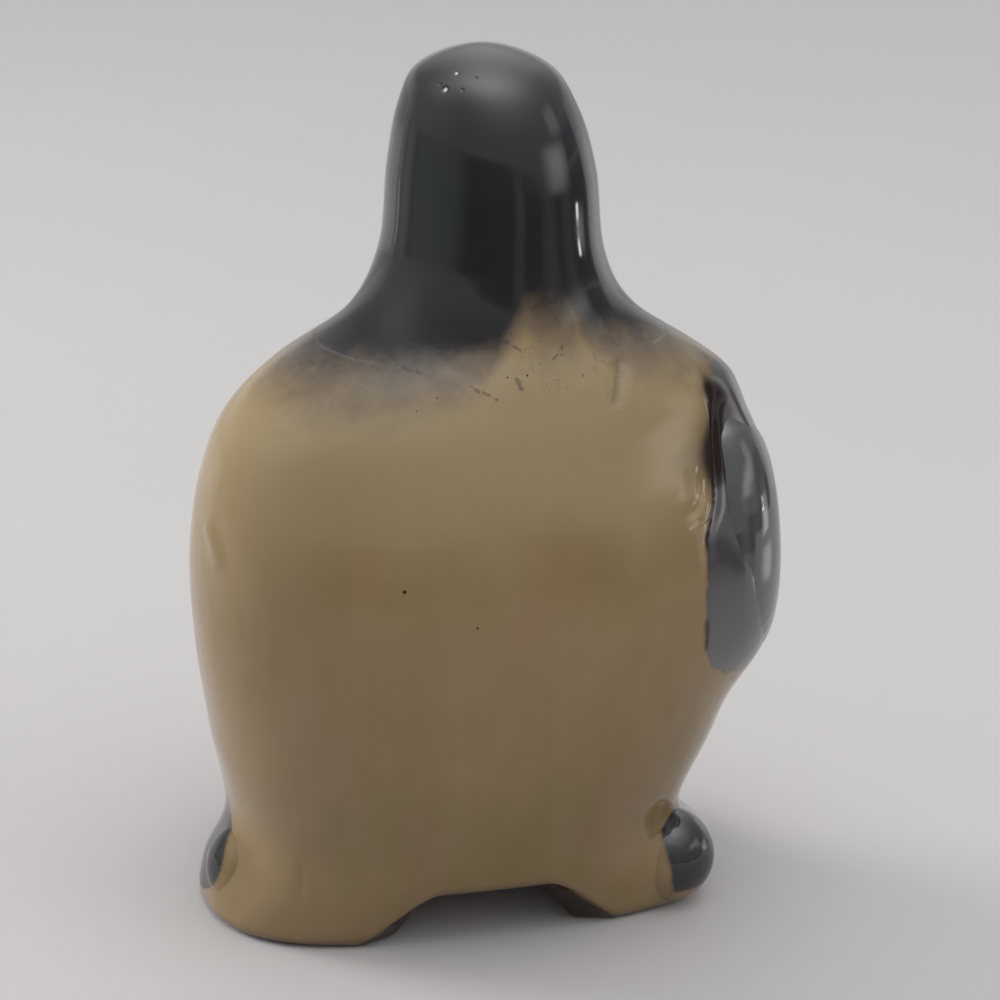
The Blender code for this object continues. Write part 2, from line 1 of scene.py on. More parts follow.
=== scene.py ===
"""Looks of a seated cat figurine in glazed earthenware, photographed from behind.

The cat faces -Y, its left side is at +X, and it stands on the plane Z = 0. Lengths are in metres.
"""

import math

import bpy
import numpy as np
from mathutils import Matrix, Vector, noise
from mathutils.bvhtree import BVHTree


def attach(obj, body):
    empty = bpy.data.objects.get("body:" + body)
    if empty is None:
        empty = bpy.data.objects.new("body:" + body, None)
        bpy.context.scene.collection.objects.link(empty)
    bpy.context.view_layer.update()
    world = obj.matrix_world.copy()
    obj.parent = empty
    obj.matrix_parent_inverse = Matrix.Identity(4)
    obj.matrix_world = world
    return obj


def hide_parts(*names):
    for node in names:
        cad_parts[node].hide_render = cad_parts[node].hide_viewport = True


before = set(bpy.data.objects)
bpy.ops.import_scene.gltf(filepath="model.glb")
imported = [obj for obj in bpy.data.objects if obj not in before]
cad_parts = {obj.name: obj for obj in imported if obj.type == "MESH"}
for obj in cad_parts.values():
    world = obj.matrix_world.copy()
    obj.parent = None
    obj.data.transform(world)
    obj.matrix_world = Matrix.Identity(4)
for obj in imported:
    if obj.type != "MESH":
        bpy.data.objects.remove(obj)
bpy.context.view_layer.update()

MM = 0.001
UP = np.array([0.0, 0.0, 1.0])

# The skin of trunk and head, in mm: height, half width, lean to the left, middle in Y, half depth,
# and the squareness of the section.
STATIONS = np.array(
    [
        (0.0, 36.8, 1.8, 0.0, 23.6, 3.20),
        (1.4, 38.2, 1.8, 0.0, 25.0, 3.20),
        (6.0, 37.0, 1.9, 0.8, 26.0, 3.00),
        (15.0, 33.9, 2.2, 3.0, 27.4, 2.50),
        (28.0, 37.7, 1.2, 5.6, 29.2, 2.28),
        (42.0, 41.1, 0.0, 6.6, 30.2, 2.25),
        (56.0, 41.8, 0.0, 7.2, 29.8, 2.25),
        (68.0, 40.2, 0.1, 7.8, 27.8, 2.20),
        (77.0, 36.5, 0.8, 8.6, 24.2, 2.12),
        (84.0, 30.2, 0.5, 8.8, 20.6, 2.05),
        (91.0, 20.8, -1.1, 8.4, 17.4, 2.00),
        (100.0, 16.1, -1.3, 8.0, 16.4, 2.00),
        (112.0, 14.7, -1.2, 7.8, 16.0, 2.00),
        (121.0, 12.6, -0.4, 8.6, 13.6, 2.00),
        (127.0, 9.0, 0.4, 9.2, 8.8, 2.00),
        (130.0, 0.0, 0.7, 9.5, 0.0, 2.00),
    ]
)
STATIONS[:, :5] *= MM
CROWN = STATIONS[-1]

# The right shoulder is hunched under the raised foreleg.
HUNCH_HEIGHT = 83.0 * MM
HUNCH_BEARING = 168.0
HUNCH_RISE = 3.2 * MM
HUNCH_TALL = 6.5 * MM
HUNCH_WIDE = 45.0

# The foot of the trunk draws in towards the front paws.
FRONT_DRAW_IN = 0.45
DRAW_IN_FULL_BELOW = 4.0 * MM
DRAW_IN_ENDS_AT = 21.0 * MM

NECK_SEAM = 88.0 * MM
FOOT_LEDGE = 13.0 * MM
FOOT_SPREAD = 1.4 * MM
RIM_WALL = 3.4 * MM
LEDGE_WIDTH = 1.8 * MM
CLAY_WALL = 4.0 * MM
NECK_LIP = 5.4 * MM
ARCH_HEIGHT = 8.6 * MM
ARCH_FLOOR_WIDTH = 40.0 * MM
ARCH_TOP_WIDTH = 20.0 * MM
ARCH_FADE = 30.0 * MM
LIP_ROUND = 1.1 * MM

SIDES = 320
TRUNK_RINGS = 170
HEAD_RINGS = 96
BACK_BEARING = 95.0
BACK_DENSITY = 0.42


def crown_shift():
    """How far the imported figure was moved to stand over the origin, read from the top of the head."""
    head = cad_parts["head_shell"].data
    points = np.array([vertex.co for vertex in head.vertices])
    top = points[points[:, 2].argmax()]
    return np.array([top[0] - CROWN[2], top[1] - CROWN[3], 0.0])


SHIFT = crown_shift()


def catmull_rom(points, samples):
    """Samples the spline between the second point and the last but one."""
    spans = len(points) - 3
    at = np.linspace(0.0, spans, samples)
    span = np.minimum(at.astype(int), spans - 1)
    t = (at - span)[:, None]
    before, start, end, after = (points[span + k] for k in range(4))
    return 0.5 * (
        2 * start
        + (end - before) * t
        + (2 * before - 5 * start + 4 * end - after) * t**2
        + (3 * start - before - 3 * end + after) * t**3
    )


def smooth_path(points, samples):
    points = np.asarray(points, float)
    ends = np.vstack([2 * points[0] - points[1], points, 2 * points[-1] - points[-2]])
    return catmull_rom(ends, samples)


def skin_profile():
    over_crown = STATIONS[-2] * (1, -1, 1, 1, -1, 1)
    below_floor = 2 * STATIONS[0] - STATIONS[1]
    return catmull_rom(np.vstack([below_floor, STATIONS, over_crown]), 900)


PROFILE = skin_profile()
PLACES = np.linspace(0.0, 1.0, len(PROFILE))
RUN = np.concatenate([[0.0], np.cumsum(np.hypot(np.diff(PROFILE[:, 0]), np.diff(PROFILE[:, 1])))])


def level(height):
    """Where a height lies along the profile, from 0 at the floor to 1 at the crown."""
    return np.interp(height, PROFILE[:, 0], PLACES)


def even_places(start, end, count):
    """Places between two heights, evenly spaced along the skin."""
    low, high = np.interp(level(np.array([start, end])), PLACES, RUN)
    return np.interp(np.linspace(low, high, count), RUN, PLACES)


def skin(at, turn):
    """Points of the plain skin in the placed frame, at places along the profile and bearings in radians."""
    height, wide, lean, middle, deep, square = (np.interp(at, PLACES, column) for column in PROFILE.T)
    across = np.sign(np.cos(turn)) * np.abs(np.cos(turn)) ** (2 / square)
    along = np.sign(np.sin(turn)) * np.abs(np.sin(turn)) ** (2 / square)
    away = (np.degrees(turn) - HUNCH_BEARING + 180.0) % 360.0 - 180.0
    hunch = HUNCH_RISE * np.exp(-(((height - HUNCH_HEIGHT) / HUNCH_TALL) ** 2) - (away / HUNCH_WIDE) ** 2)
    drawn = FRONT_DRAW_IN * (1 - smoothstep(DRAW_IN_FULL_BELOW, DRAW_IN_ENDS_AT, height))
    drawn = drawn * np.clip(-along, 0.0, 1.0) ** 1.5
    x = lean + wide * across * (1 - drawn) + hunch * np.cos(turn)
    y = middle + deep * along + hunch * np.sin(turn)
    return np.stack([x, y, height + 0 * x], axis=-1) + SHIFT


def skin_normals(at, turn):
    low = np.clip(at - 0.003, 0.0, 1.0)
    high = np.clip(at + 0.003, 0.0, 1.0)
    up = skin(high, turn) - skin(low, turn)
    normal = np.cross(skin(at, turn + 0.02) - skin(at, turn - 0.02), up)
    return normal / np.maximum(np.linalg.norm(normal, axis=-1, keepdims=True), 1e-12)


def anchor(height, bearing, lift):
    """A point over the skin, and the direction out of the skin there."""
    at, turn = level(np.array([height])), np.array([math.radians(bearing)])
    normal = skin_normals(at, turn)[0]
    return skin(at, turn)[0] + lift * normal, normal


def skin_line(start_height, start_bearing, end_height, end_bearing):
    """Both ends of a short line on the skin, from heights in mm and bearings in degrees."""
    return anchor(start_height * MM, start_bearing, 0.0)[0], anchor(end_height * MM, end_bearing, 0.0)[0]


def unit(vectors):
    return vectors / np.linalg.norm(vectors, axis=-1, keepdims=True)


def smoothstep(low, high, value):
    t = np.clip((value - low) / (high - low), 0.0, 1.0)
    return t * t * (3 - 2 * t)


def noise_at(points, size, seed=0.0):
    """Smooth noise from -1 to 1 with bumps of about the given size."""
    away = Vector((seed, 2.7 * seed, -1.3 * seed))
    return np.array([noise.noise(Vector(p) / size + away) for p in points])


# Waves in the clay: height and width in mm, and a seed that sets them apart.
HAND_WAVES = [(0.16, 26.0, 3.0), (0.045, 9.0, 7.0)]
TOOL_WAVES = [(0.08, 3.4, 11.0), (0.03, 1.5, 13.0)]


def waves(points, table):
    return sum(height * MM * noise_at(points, size * MM, seed) for height, size, seed in table)


# Hand marks in the clay: first and second end as height and bearing, half width, and rise over the skin.
# Heights, widths and rises are in mm. A negative rise is a groove or a dent.
HAND_MARKS = [
    (87.0, 124.0, 82.8, 115.5, 0.80, -0.30),
    (85.6, 127.0, 81.8, 118.5, 1.10, 0.14),
    (84.4, 145.0, 83.2, 145.6, 0.35, -0.22),
    (13.2, 41.0, 7.6, 46.5, 0.80, -0.22),
    (62.8, 9.0, 59.4, 15.0, 1.60, 0.42),
    (70.8, 128.2, 68.2, 126.4, 1.00, 0.50),
    (66.8, 130.0, 65.2, 128.4, 1.10, 0.45),
    (64.8, 125.6, 64.4, 124.6, 0.80, 0.28),
    (68.0, 123.6, 67.6, 123.2, 0.60, 0.20),
    (91.6, 92.0, 90.0, 104.0, 0.90, -0.06),
    (88.0, 66.0, 86.6, 78.0, 0.90, -0.06),
]


def segment_distance(points, start, end):
    way = end - start
    t = np.clip(((points - start) @ way) / max(way @ way, 1e-18), 0.0, 1.0)
    return np.linalg.norm(points - start - t[:, None] * way, axis=1)


def hand_work(points, luting):
    """How far the hand-worked clay stands off the even skin, with its luting marks and single hand marks."""
    rise = waves(points, HAND_WAVES) + luting * waves(points, TOOL_WAVES)
    for *ends, half, lift in HAND_MARKS:
        near = segment_distance(points, *skin_line(*ends)) / (half * MM)
        rise += lift * MM * np.exp(-(near**2))
    return rise


LUTING_HEIGHT = 88.0 * MM
LUTING_TALL = 4.2 * MM


def luting_zone(points, turn):
    """Where the head was luted on: a band of tooled clay across the nape."""
    band = np.exp(-(((points[:, 2] - LUTING_HEIGHT) / LUTING_TALL) ** 2))
    back = smoothstep(20.0, 60.0, np.degrees(turn)) * (1 - smoothstep(120.0, 150.0, np.degrees(turn)))
    return band * back


def dense_bearings():
    """Bearings all round, closer together over the back."""
    even = np.linspace(0.0, 2 * math.pi, SIDES, endpoint=False)
    turn = even - BACK_DENSITY * np.sin(even - math.radians(BACK_BEARING))
    return turn % (2 * math.pi)


TURN = dense_bearings()


def arch_edge():
    """Height of the foot's edge at each bearing: raised in an arch between the two haunches."""
    foot = skin(np.zeros(SIDES), TURN) - SHIFT
    off = np.abs(foot[:, 0] - STATIONS[1][2])
    swell = 0.5 * (ARCH_FLOOR_WIDTH - ARCH_TOP_WIDTH)
    beyond = np.clip((off - 0.5 * ARCH_TOP_WIDTH) / swell, 0.0, 1.0)
    rise = ARCH_HEIGHT * 0.5 * (1 + np.cos(math.pi * beyond))
    return np.where(foot[:, 1] > 0, rise, 0.0)


EDGE = arch_edge()


def outer_ring(place):
    """One ring of the outer skin, lifted near the foot to follow the arch, and rounded at its lip."""
    height = np.interp(place, PLACES, PROFILE[:, 0])
    lifted = height + EDGE * np.clip(1 - height / ARCH_FADE, 0.0, None)
    at = level(lifted)
    points, normals = skin(at, TURN), skin_normals(at, TURN)
    above = np.clip(lifted - EDGE, 0.0, LIP_ROUND)
    tuck = LIP_ROUND - np.sqrt(np.maximum(LIP_ROUND**2 - (LIP_ROUND - above) ** 2, 0.0))
    tuck *= smoothstep(1.0 * MM, 4.0 * MM, EDGE)
    worked = hand_work(points, luting_zone(points, TURN)) * smoothstep(0.0, 3 * MM, above + height)
    return points + (worked - tuck)[:, None] * normals


def flat_ring(height, inset):
    """The section at one height, moved inwards in its own plane."""
    ring = skin(np.full(SIDES, level(height)), TURN)
    edge = np.roll(ring, -1, axis=0) - np.roll(ring, 1, axis=0)
    return ring + inset * unit(np.stack([-edge[:, 1], edge[:, 0], np.zeros(SIDES)], axis=1))


def rim_ring(inset, height):
    """The opening inside the foot rim: waist and foot limit its width, and the foot limits its depth."""
    waist, foot = flat_ring(FOOT_LEDGE, inset), flat_ring(FOOT_SPREAD, inset)
    x = np.where(np.abs(waist[:, 0] - SHIFT[0]) < np.abs(foot[:, 0] - SHIFT[0]), waist[:, 0], foot[:, 0])
    return np.column_stack([x, foot[:, 1], height + np.zeros(SIDES)])


def bridge(name, rings, loop=False):
    """A mesh over rings of equal size; a ring of one point ends in a fan, and a loop joins last to first."""
    starts = np.cumsum([0] + [len(ring) for ring in rings])
    pairs = list(zip(range(len(rings) - 1), range(1, len(rings))))
    if loop:
        pairs.append((len(rings) - 1, 0))
    faces = []
    for first, second in pairs:
        a, b, a_size, b_size = starts[first], starts[second], len(rings[first]), len(rings[second])
        for k in range(max(a_size, b_size)):
            corners = (a + k % a_size, a + (k + 1) % a_size, b + (k + 1) % b_size, b + k % b_size)
            face = tuple(dict.fromkeys(corners))
            if len(face) > 2:
                faces.append(face)
    return mesh_object(name, np.vstack(rings), faces)


def mesh_object(name, vertices, faces):
    mesh = bpy.data.meshes.new(name)
    mesh.from_pydata([tuple(map(float, v)) for v in vertices], [], faces)
    mesh.polygons.foreach_set("use_smooth", [True] * len(mesh.polygons))
    obj = bpy.data.objects.new(name, mesh)
    bpy.context.scene.collection.objects.link(obj)
    return obj


def apply_modifiers(obj):
    graph = bpy.context.evaluated_depsgraph_get()
    mesh = bpy.data.meshes.new_from_object(obj.evaluated_get(graph))
    obj.modifiers.clear()
    obj.data = mesh
    mesh.polygons.foreach_set("use_smooth", [True] * len(mesh.polygons))


def coordinates(obj):
    points = np.empty(3 * len(obj.data.vertices))
    obj.data.vertices.foreach_get("co", points)
    return points.reshape(-1, 3)


def move_vertices(obj, points):
    obj.data.vertices.foreach_set("co", points.ravel())
    obj.data.update()


def push_out(obj, rise):
    """Moves each vertex of a piece along its normal."""
    normals = np.empty(3 * len(rise))
    obj.data.vertices.foreach_get("normal", normals)
    move_vertices(obj, coordinates(obj) + rise[:, None] * normals.reshape(-1, 3))


def paint(obj, name, values):
    """Stores one number per vertex for the glaze to read."""
    layer = obj.data.attributes.new(name, "FLOAT", "POINT")
    layer.data.foreach_set("value", np.asarray(values, np.float32))


GLAZED_SOLE_RINGS = 3
TRUNK_HOLLOW_RINGS = 16
HEAD_HOLLOW_RINGS = 12
CROWN_RING = 129.97 * MM
CROWN_HOLLOW = 129.0 * MM
SOLE_ROUND = 0.8 * MM
SOLE_CHAMFER = 0.9 * MM
SHARP_FROM = math.radians(38)


def hollow_rings(start, end, count):
    """Rings of the hollow between two heights, one wall in from the skin."""
    rings = []
    for place in np.linspace(level(start), level(end), count):
        at = np.full(SIDES, place)
        rings.append(skin(at, TURN) - CLAY_WALL * skin_normals(at, TURN))
    return rings


def body_skin():
    """The trunk with its foot rim, hollow inside, open at the neck and under the plate's ledge."""
    outer = [outer_ring(place) for place in even_places(0.0, NECK_SEAM, TRUNK_RINGS)]
    lip = flat_ring(NECK_SEAM, NECK_LIP)
    hollow = hollow_rings(NECK_SEAM - CLAY_WALL, FOOT_LEDGE + CLAY_WALL, TRUNK_HOLLOW_RINGS)
    ledge = rim_ring(RIM_WALL + LEDGE_WIDTH, FOOT_LEDGE)
    wall = [rim_ring(RIM_WALL, EDGE + (FOOT_LEDGE - EDGE) * t) for t in (1.0, 0.5)]
    sole = [rim_ring(RIM_WALL, EDGE + SOLE_ROUND), rim_ring(RIM_WALL - SOLE_CHAMFER, EDGE)]
    obj = bridge("body_skin", [*outer, lip, *hollow, ledge, *wall, *sole], loop=True)
    glazed_rings = len(outer) - 1
    unglazed = np.zeros(len(obj.data.polygons), int)
    unglazed[glazed_rings * SIDES : -GLAZED_SOLE_RINGS * SIDES] = 1
    obj.data.polygons.foreach_set("material_index", unglazed)
    obj.data.set_sharp_from_angle(angle=SHARP_FROM)
    return obj


def head_skin():
    """The dome of head and neck, hollow inside and open at the neck."""
    outer = [outer_ring(place) for place in even_places(NECK_SEAM, CROWN_RING, HEAD_RINGS)]
    crown = skin(np.array([1.0]), np.array([0.0]))
    crown = crown + UP * hand_work(crown, np.zeros(1))[:, None]
    inner_crown = crown - CLAY_WALL * UP
    hollow = hollow_rings(CROWN_HOLLOW, NECK_SEAM + CLAY_WALL, HEAD_HOLLOW_RINGS)
    lip = flat_ring(NECK_SEAM, NECK_LIP)
    obj = bridge("head_skin", [*outer, crown, inner_crown, *hollow, lip], loop=True)
    obj.data.set_sharp_from_angle(angle=SHARP_FROM)
    return obj


def ellipsoid(centre, radii, axes=None, sides=40, rings=24):
    """Rings of an ellipsoid whose half sizes lie along the rows of axes."""
    axes = np.eye(3) if axes is None else axes
    turn = np.linspace(0.0, 2 * math.pi, sides, endpoint=False)
    levels = []
    for k in range(rings + 1):
        lift = math.pi * k / rings
        circle = np.stack([np.cos(turn), np.sin(turn)], axis=1) * math.sin(lift)
        ring = np.column_stack([circle, np.full(sides, -math.cos(lift))])
        if k in (0, rings):
            ring = ring[:1] * (0, 0, 1)
        levels.append(centre + (ring * radii) @ axes)
    return levels


def round_ends(oval, half_thicks):
    """Rings of a limb with rounded ends. The oval at a step can shrink, and shift along the limb."""
    angles = np.linspace(0.0, math.pi / 2, 9)[1:-1]
    last = len(half_thicks) - 1
    first_cap = [oval(0, math.sin(a), -half_thicks[0] * math.cos(a)) for a in angles]
    last_cap = [oval(last, math.cos(a), half_thicks[last] * math.sin(a)) for a in angles]
    first_tip = oval(0, 0.0, -half_thicks[0])[:1]
    last_tip = oval(last, 0.0, half_thicks[last])[:1]
    rings = [first_tip, *first_cap, *(oval(k, 1.0, 0.0) for k in range(last + 1)), *last_cap, last_tip]
    return rings[::-1]


def sweep(points, normals, half_widths, half_thicks, sides=48):
    """Rings of a limb of oval section along a path, with rounded ends. The thin way follows the normals."""
    tangents = unit(np.gradient(points, axis=0))
    across = unit(np.cross(tangents, normals))
    thin_way = np.cross(across, tangents)
    turn = np.linspace(0.0, 2 * math.pi, sides, endpoint=False)

    def oval(k, shrink, shift):
        wide, thick = shrink * half_widths[k], shrink * half_thicks[k]
        centre = points[k] + shift * tangents[k]
        return centre + np.outer(np.cos(turn) * wide, across[k]) + np.outer(np.sin(turn) * thick, thin_way[k])

    return round_ends(oval, half_thicks)


def clay(name, shapes, grain=0.42 * MM, rubs=6, wave=0.05 * MM):
    """Presses shapes together into one lump of clay, rubs it smooth, and leaves slight hand waves in it."""
    vertices, faces, start = [], [], 0
    for rings in shapes:
        lump = bridge("lump", rings)
        vertices.append(coordinates(lump))
        faces += [[start + v for v in polygon.vertices] for polygon in lump.data.polygons]
        start += len(lump.data.vertices)
        bpy.data.objects.remove(lump, do_unlink=True)
    obj = mesh_object(name, np.vstack(vertices), faces)
    remesh = obj.modifiers.new("press", "REMESH")
    remesh.mode = "VOXEL"
    remesh.voxel_size = grain
    rub = obj.modifiers.new("rub", "SMOOTH")
    rub.factor = 0.5
    rub.iterations = rubs
    apply_modifiers(obj)
    push_out(obj, wave * noise_at(coordinates(obj), 5 * MM, 5.0))
    return obj


def upright_axes(bearing):
    """Axes of a piece that points along a bearing: across, along, up."""
    turn = math.radians(bearing)
    along = np.array([math.cos(turn), math.sin(turn), 0.0])
    return np.array([np.cross(along, UP), along, UP])


def surface_axes(normal, tilt=0.0):
    """Axes of a piece that lies on the skin: sideways, up the skin, out of it."""
    side = unit(np.cross(UP, normal))
    rise = np.cross(normal, side)
    turn = math.radians(tilt)
    across = math.cos(turn) * side + math.sin(turn) * rise
    return np.array([across, np.cross(normal, across), normal])


def skin_limb(nodes, samples=48, sides=64):
    """A limb bent round the skin, from nodes of height, bearing, lift, half width and half thickness."""
    path = smooth_path(nodes, samples)
    heights, lifts, half_widths, half_thicks = (path[:, k] * MM for k in (0, 2, 3, 4))
    at, turn = level(heights), np.radians(path[:, 1])
    normals = skin_normals(at, turn)
    step = (skin(at, turn + 0.01) - skin(at, turn - 0.01)) / 0.02
    radius = np.linalg.norm(step, axis=1)
    round_way = step / radius[:, None]
    rise_way = np.cross(normals, round_way)
    tangents = unit(np.gradient(skin(at, turn) + lifts[:, None] * normals, axis=0))
    across = unit(np.cross(tangents, normals))
    circle = np.linspace(0.0, 2 * math.pi, sides, endpoint=False)

    def oval(k, shrink, shift):
        way = np.outer(shrink * half_widths[k] * np.cos(circle), across[k]) + shift * tangents[k]
        bearing = turn[k] + way @ round_way[k] / radius[k]
        place = level(heights[k] + way @ rise_way[k] * rise_way[k][2])
        lift = lifts[k] + shrink * half_thicks[k] * np.sin(circle)
        return skin(place, bearing) + lift[:, None] * skin_normals(place, bearing)

    return round_ends(oval, half_thicks)


# Forelegs, shoulder first, in mm and degrees: height, bearing, lift over the skin, half width, half thickness.
RAISED_FORELEG = [
    (79.5, 164.0, -4.2, 6.0, 4.4),
    (74.5, 161.0, -2.8, 7.2, 4.7),
    (69.5, 157.6, -1.9, 8.7, 5.0),
    (56.0, 155.0, -1.7, 10.6, 5.2),
    (44.0, 168.0, -1.7, 9.4, 5.0),
    (41.5, 196.0, -0.8, 7.6, 5.0),
    (49.0, 222.0, 0.6, 6.4, 5.2),
    (59.0, 243.0, 1.8, 5.8, 5.2),
]
STRAIGHT_FORELEG = [
    (73.0, 318.0, -4.2, 8.4, 5.2),
    (60.0, 309.0, -2.4, 9.6, 5.8),
    (43.0, 300.0, -0.4, 8.0, 6.0),
    (25.0, 294.0, 1.4, 6.4, 5.8),
    (9.0, 291.0, 3.0, 6.0, 5.4),
]
# The tail from its root to its tip: X, Y and radius in mm; it lies on the floor.
TAIL_PATH = [(-21.0, -24.5, 4.9), (-14.0, -30.0, 4.7), (-5.0, -32.6, 4.4), (4.5, -33.0, 3.9)]
# Hind feet, heel first: X, Y, Z, half width and half height in mm.
LEFT_HIND_FOOT = [
    (33.2, 7.0, 7.2, 7.2, 7.2),
    (32.4, 1.0, 5.4, 6.8, 6.0),
    (29.9, -7.0, 4.6, 6.6, 4.8),
    (26.2, -17.0, 4.6, 6.2, 4.8),
]
RIGHT_HIND_FOOT = [
    (-27.2, 18.0, 7.4, 7.2, 7.2),
    (-29.6, 8.0, 5.4, 6.8, 6.0),
    (-29.6, -3.0, 4.6, 6.6, 4.8),
    (-26.2, -15.0, 4.6, 6.2, 4.8),
]
HIND_TOES_TURN_IN = 6.0
TOE = 2.3 * MM
FRONT_PAW_Z = 4.4 * MM
FRONT_PAW_REACH = 3.6 * MM
PAW_RADII = np.array([6.6, 8.6, 5.0]) * MM
HIND_PAW_RADII = np.array([5.5, 7.0, 4.6]) * MM


def paw_shapes(centre, bearing, radii, toe_drop=0.0):
    """A pad with four toes at its front end."""
    axes = upright_axes(bearing)
    shapes = [ellipsoid(centre, radii, axes)]
    spread = radii[0] - 0.8 * TOE
    for side in np.linspace(-spread, spread, 4):
        reach = radii[1] * math.sqrt(1 - (0.8 * side / radii[0]) ** 2) - 0.5 * TOE
        toe = centre + side * axes[0] + reach * axes[1] + toe_drop * axes[2]
        shapes.append(ellipsoid(toe, TOE * np.array([1.0, 1.3, 1.0]), axes, 24, 16))
    return shapes


def hind_foot(side):
    path = smooth_path(LEFT_HIND_FOOT if side > 0 else RIGHT_HIND_FOOT, 24) * MM
    points = path[:, :3] + SHIFT
    foot = sweep(points, np.tile(UP, (len(path), 1)), path[:, 3], path[:, 4])
    bearing = 270.0 - side * HIND_TOES_TURN_IN
    return [foot] + paw_shapes(points[-1], bearing, HIND_PAW_RADII, TOE - points[-1][2])


def tail():
    path = smooth_path(TAIL_PATH, 30) * MM
    radii = path[:, 2]
    return [sweep(path + SHIFT, np.tile(UP, (len(path), 1)), radii, radii)]


def stand(obj):
    """Presses what would reach under the floor flat against it."""
    points = coordinates(obj)
    points[:, 2] = np.maximum(points[:, 2], 0.0)
    move_vertices(obj, points)


def raised_paw():
    height, bearing, lift, _, _ = RAISED_FORELEG[-1]
    centre, _ = anchor((height + 6.0) * MM, bearing + 10.0, (lift + 2.4) * MM)
    return paw_shapes(centre, bearing + 10.0, PAW_RADII)


def front_paw():
    height, bearing, lift, _, _ = STRAIGHT_FORELEG[-1]
    ankle, _ = anchor(height * MM, bearing, lift * MM)
    centre = np.array([ankle[0], ankle[1] - FRONT_PAW_REACH, FRONT_PAW_Z])
    return paw_shapes(centre, 270.0, PAW_RADII, TOE - FRONT_PAW_Z)


THIGH_HEIGHT = 23.0 * MM
THIGH_BEARING = 315.0
THIGH_RADII = np.array([10.0, 13.5, 4.6]) * MM
THIGH_SINK = -2.0 * MM
MUZZLE_HEIGHT = 100.0 * MM
EYE_HEIGHT = 107.2 * MM
EYE_BEARING = 297.0
EYE_RADII = np.array([3.9, 2.9, 1.6]) * MM
EYE_TILT = 14.0
EAR_ROOT = 113.4 * MM
EAR_BEARING = 298.0
EAR_RISE = 8.2 * MM
EAR_LEAN = 1.2 * MM


def sided(bearing, side):
    return bearing if side > 0 else 180.0 - bearing


def thigh(side):
    centre, normal = anchor(THIGH_HEIGHT, sided(THIGH_BEARING, side), THIGH_SINK)
    return [ellipsoid(centre, THIGH_RADII, surface_axes(normal), 72, 48)]


def muzzle():
    centre, _ = anchor(MUZZLE_HEIGHT, 270.0, 0.9 * MM)
    cheeks = [ellipsoid(centre + (side * 3.3 * MM, 0, 0), np.array([4.9, 4.6, 4.1]) * MM) for side in (-1, 1)]
    chin = ellipsoid(centre - (0, 0, 3.9 * MM), np.array([3.9, 3.4, 2.9]) * MM)
    nose_bridge = ellipsoid(centre + (0, 0, 4.6 * MM), np.array([3.3, 3.4, 6.6]) * MM)
    return [*cheeks, chin, nose_bridge]


def nose():
    centre, _ = anchor(MUZZLE_HEIGHT, 270.0, 5.4 * MM)
    return [ellipsoid(centre + (0, 0, 2.6 * MM), np.array([2.3, 1.5, 1.5]) * MM)]


def eye_frame(side):
    centre, normal = anchor(EYE_HEIGHT, sided(EYE_BEARING, side), 0.0)
    return centre, surface_axes(normal, side * EYE_TILT)


def eye(side):
    """A bead of glaze, with its own coordinates stored for the iris and the slit pupil."""
    word = "left" if side > 0 else "right"
    centre, axes = eye_frame(side)
    obj = bridge(f"eye_{word}_bead", ellipsoid(centre, EYE_RADII, axes, 96, 64))
    local = ((coordinates(obj) - centre) @ axes.T) / EYE_RADII
    paint(obj, "across", local[:, 0])
    paint(obj, "rise", local[:, 1])
    return obj


def ear(side):
    root, normal = anchor(EAR_ROOT, sided(EAR_BEARING, side), -1.2 * MM)
    t = np.linspace(0.0, 0.95, 24)
    points = root + np.outer(t, (0.0, -EAR_LEAN, EAR_RISE))
    widths = 5.2 * MM * (1 - t) ** 0.75
    thicks = 2.6 * MM * (1 - 0.62 * t)
    return [sweep(points, np.tile(normal, (len(t), 1)), widths, thicks)], points + 2.4 * MM * normal


def press_line(obj, path, half, depth):
    """Presses a soft groove into a piece along a line of points."""
    points = coordinates(obj)
    near = np.min([segment_distance(points, a, b) for a, b in zip(path[:-1], path[1:])], axis=0)
    push_out(obj, -depth * np.exp(-((near / half) ** 2)))


def surface_of(obj):
    return BVHTree.FromPolygons(
        [vertex.co for vertex in obj.data.vertices],
        [tuple(polygon.vertices) for polygon in obj.data.polygons],
    )


def distance_to(points, surface, reach):
    """Distance of each point to a surface up to a reach, negative inside."""
    found = np.full(len(points), reach)
    for k, point in enumerate(points):
        place, normal, _, distance = surface.find_nearest(Vector(point), reach)
        if distance is not None:
            found[k] = math.copysign(distance, (Vector(point) - place).dot(normal))
    return found


SLIP_SINK = 2.0 * MM


def slip_rise(distance, reach, rise):
    """How high slip stands beside a luted piece: it runs over the piece's edge and fades out at its reach."""
    return rise * (1 - np.clip((distance + SLIP_SINK) / (reach + SLIP_SINK), 0.0, 1.0)) ** 2


# Edge of the dark glaze on the right flank: height in mm and bearing in degrees, from the shoulder down,
# then back up on the side that the photo does not show.
FLANK_DARK = [
    (83.6, 160.0),
    (81.8, 150.0),
    (79.5, 147.0),
    (77.0, 145.0),
    (74.5, 142.0),
    (70.7, 138.0),
    (66.6, 135.0),
    (64.1, 132.0),
    (61.6, 129.4),
    (52.7, 128.4),
    (49.5, 129.0),
    (44.6, 130.0),
    (41.8, 133.0),
    (39.2, 142.0),
    (38.5, 152.0),
    (38.0, 168.0),
    (52.0, 172.0),
    (70.0, 170.0),
    (82.0, 172.0),
]
# What one degree of bearing measures along the right flank, in mm.
DEGREE = 0.62


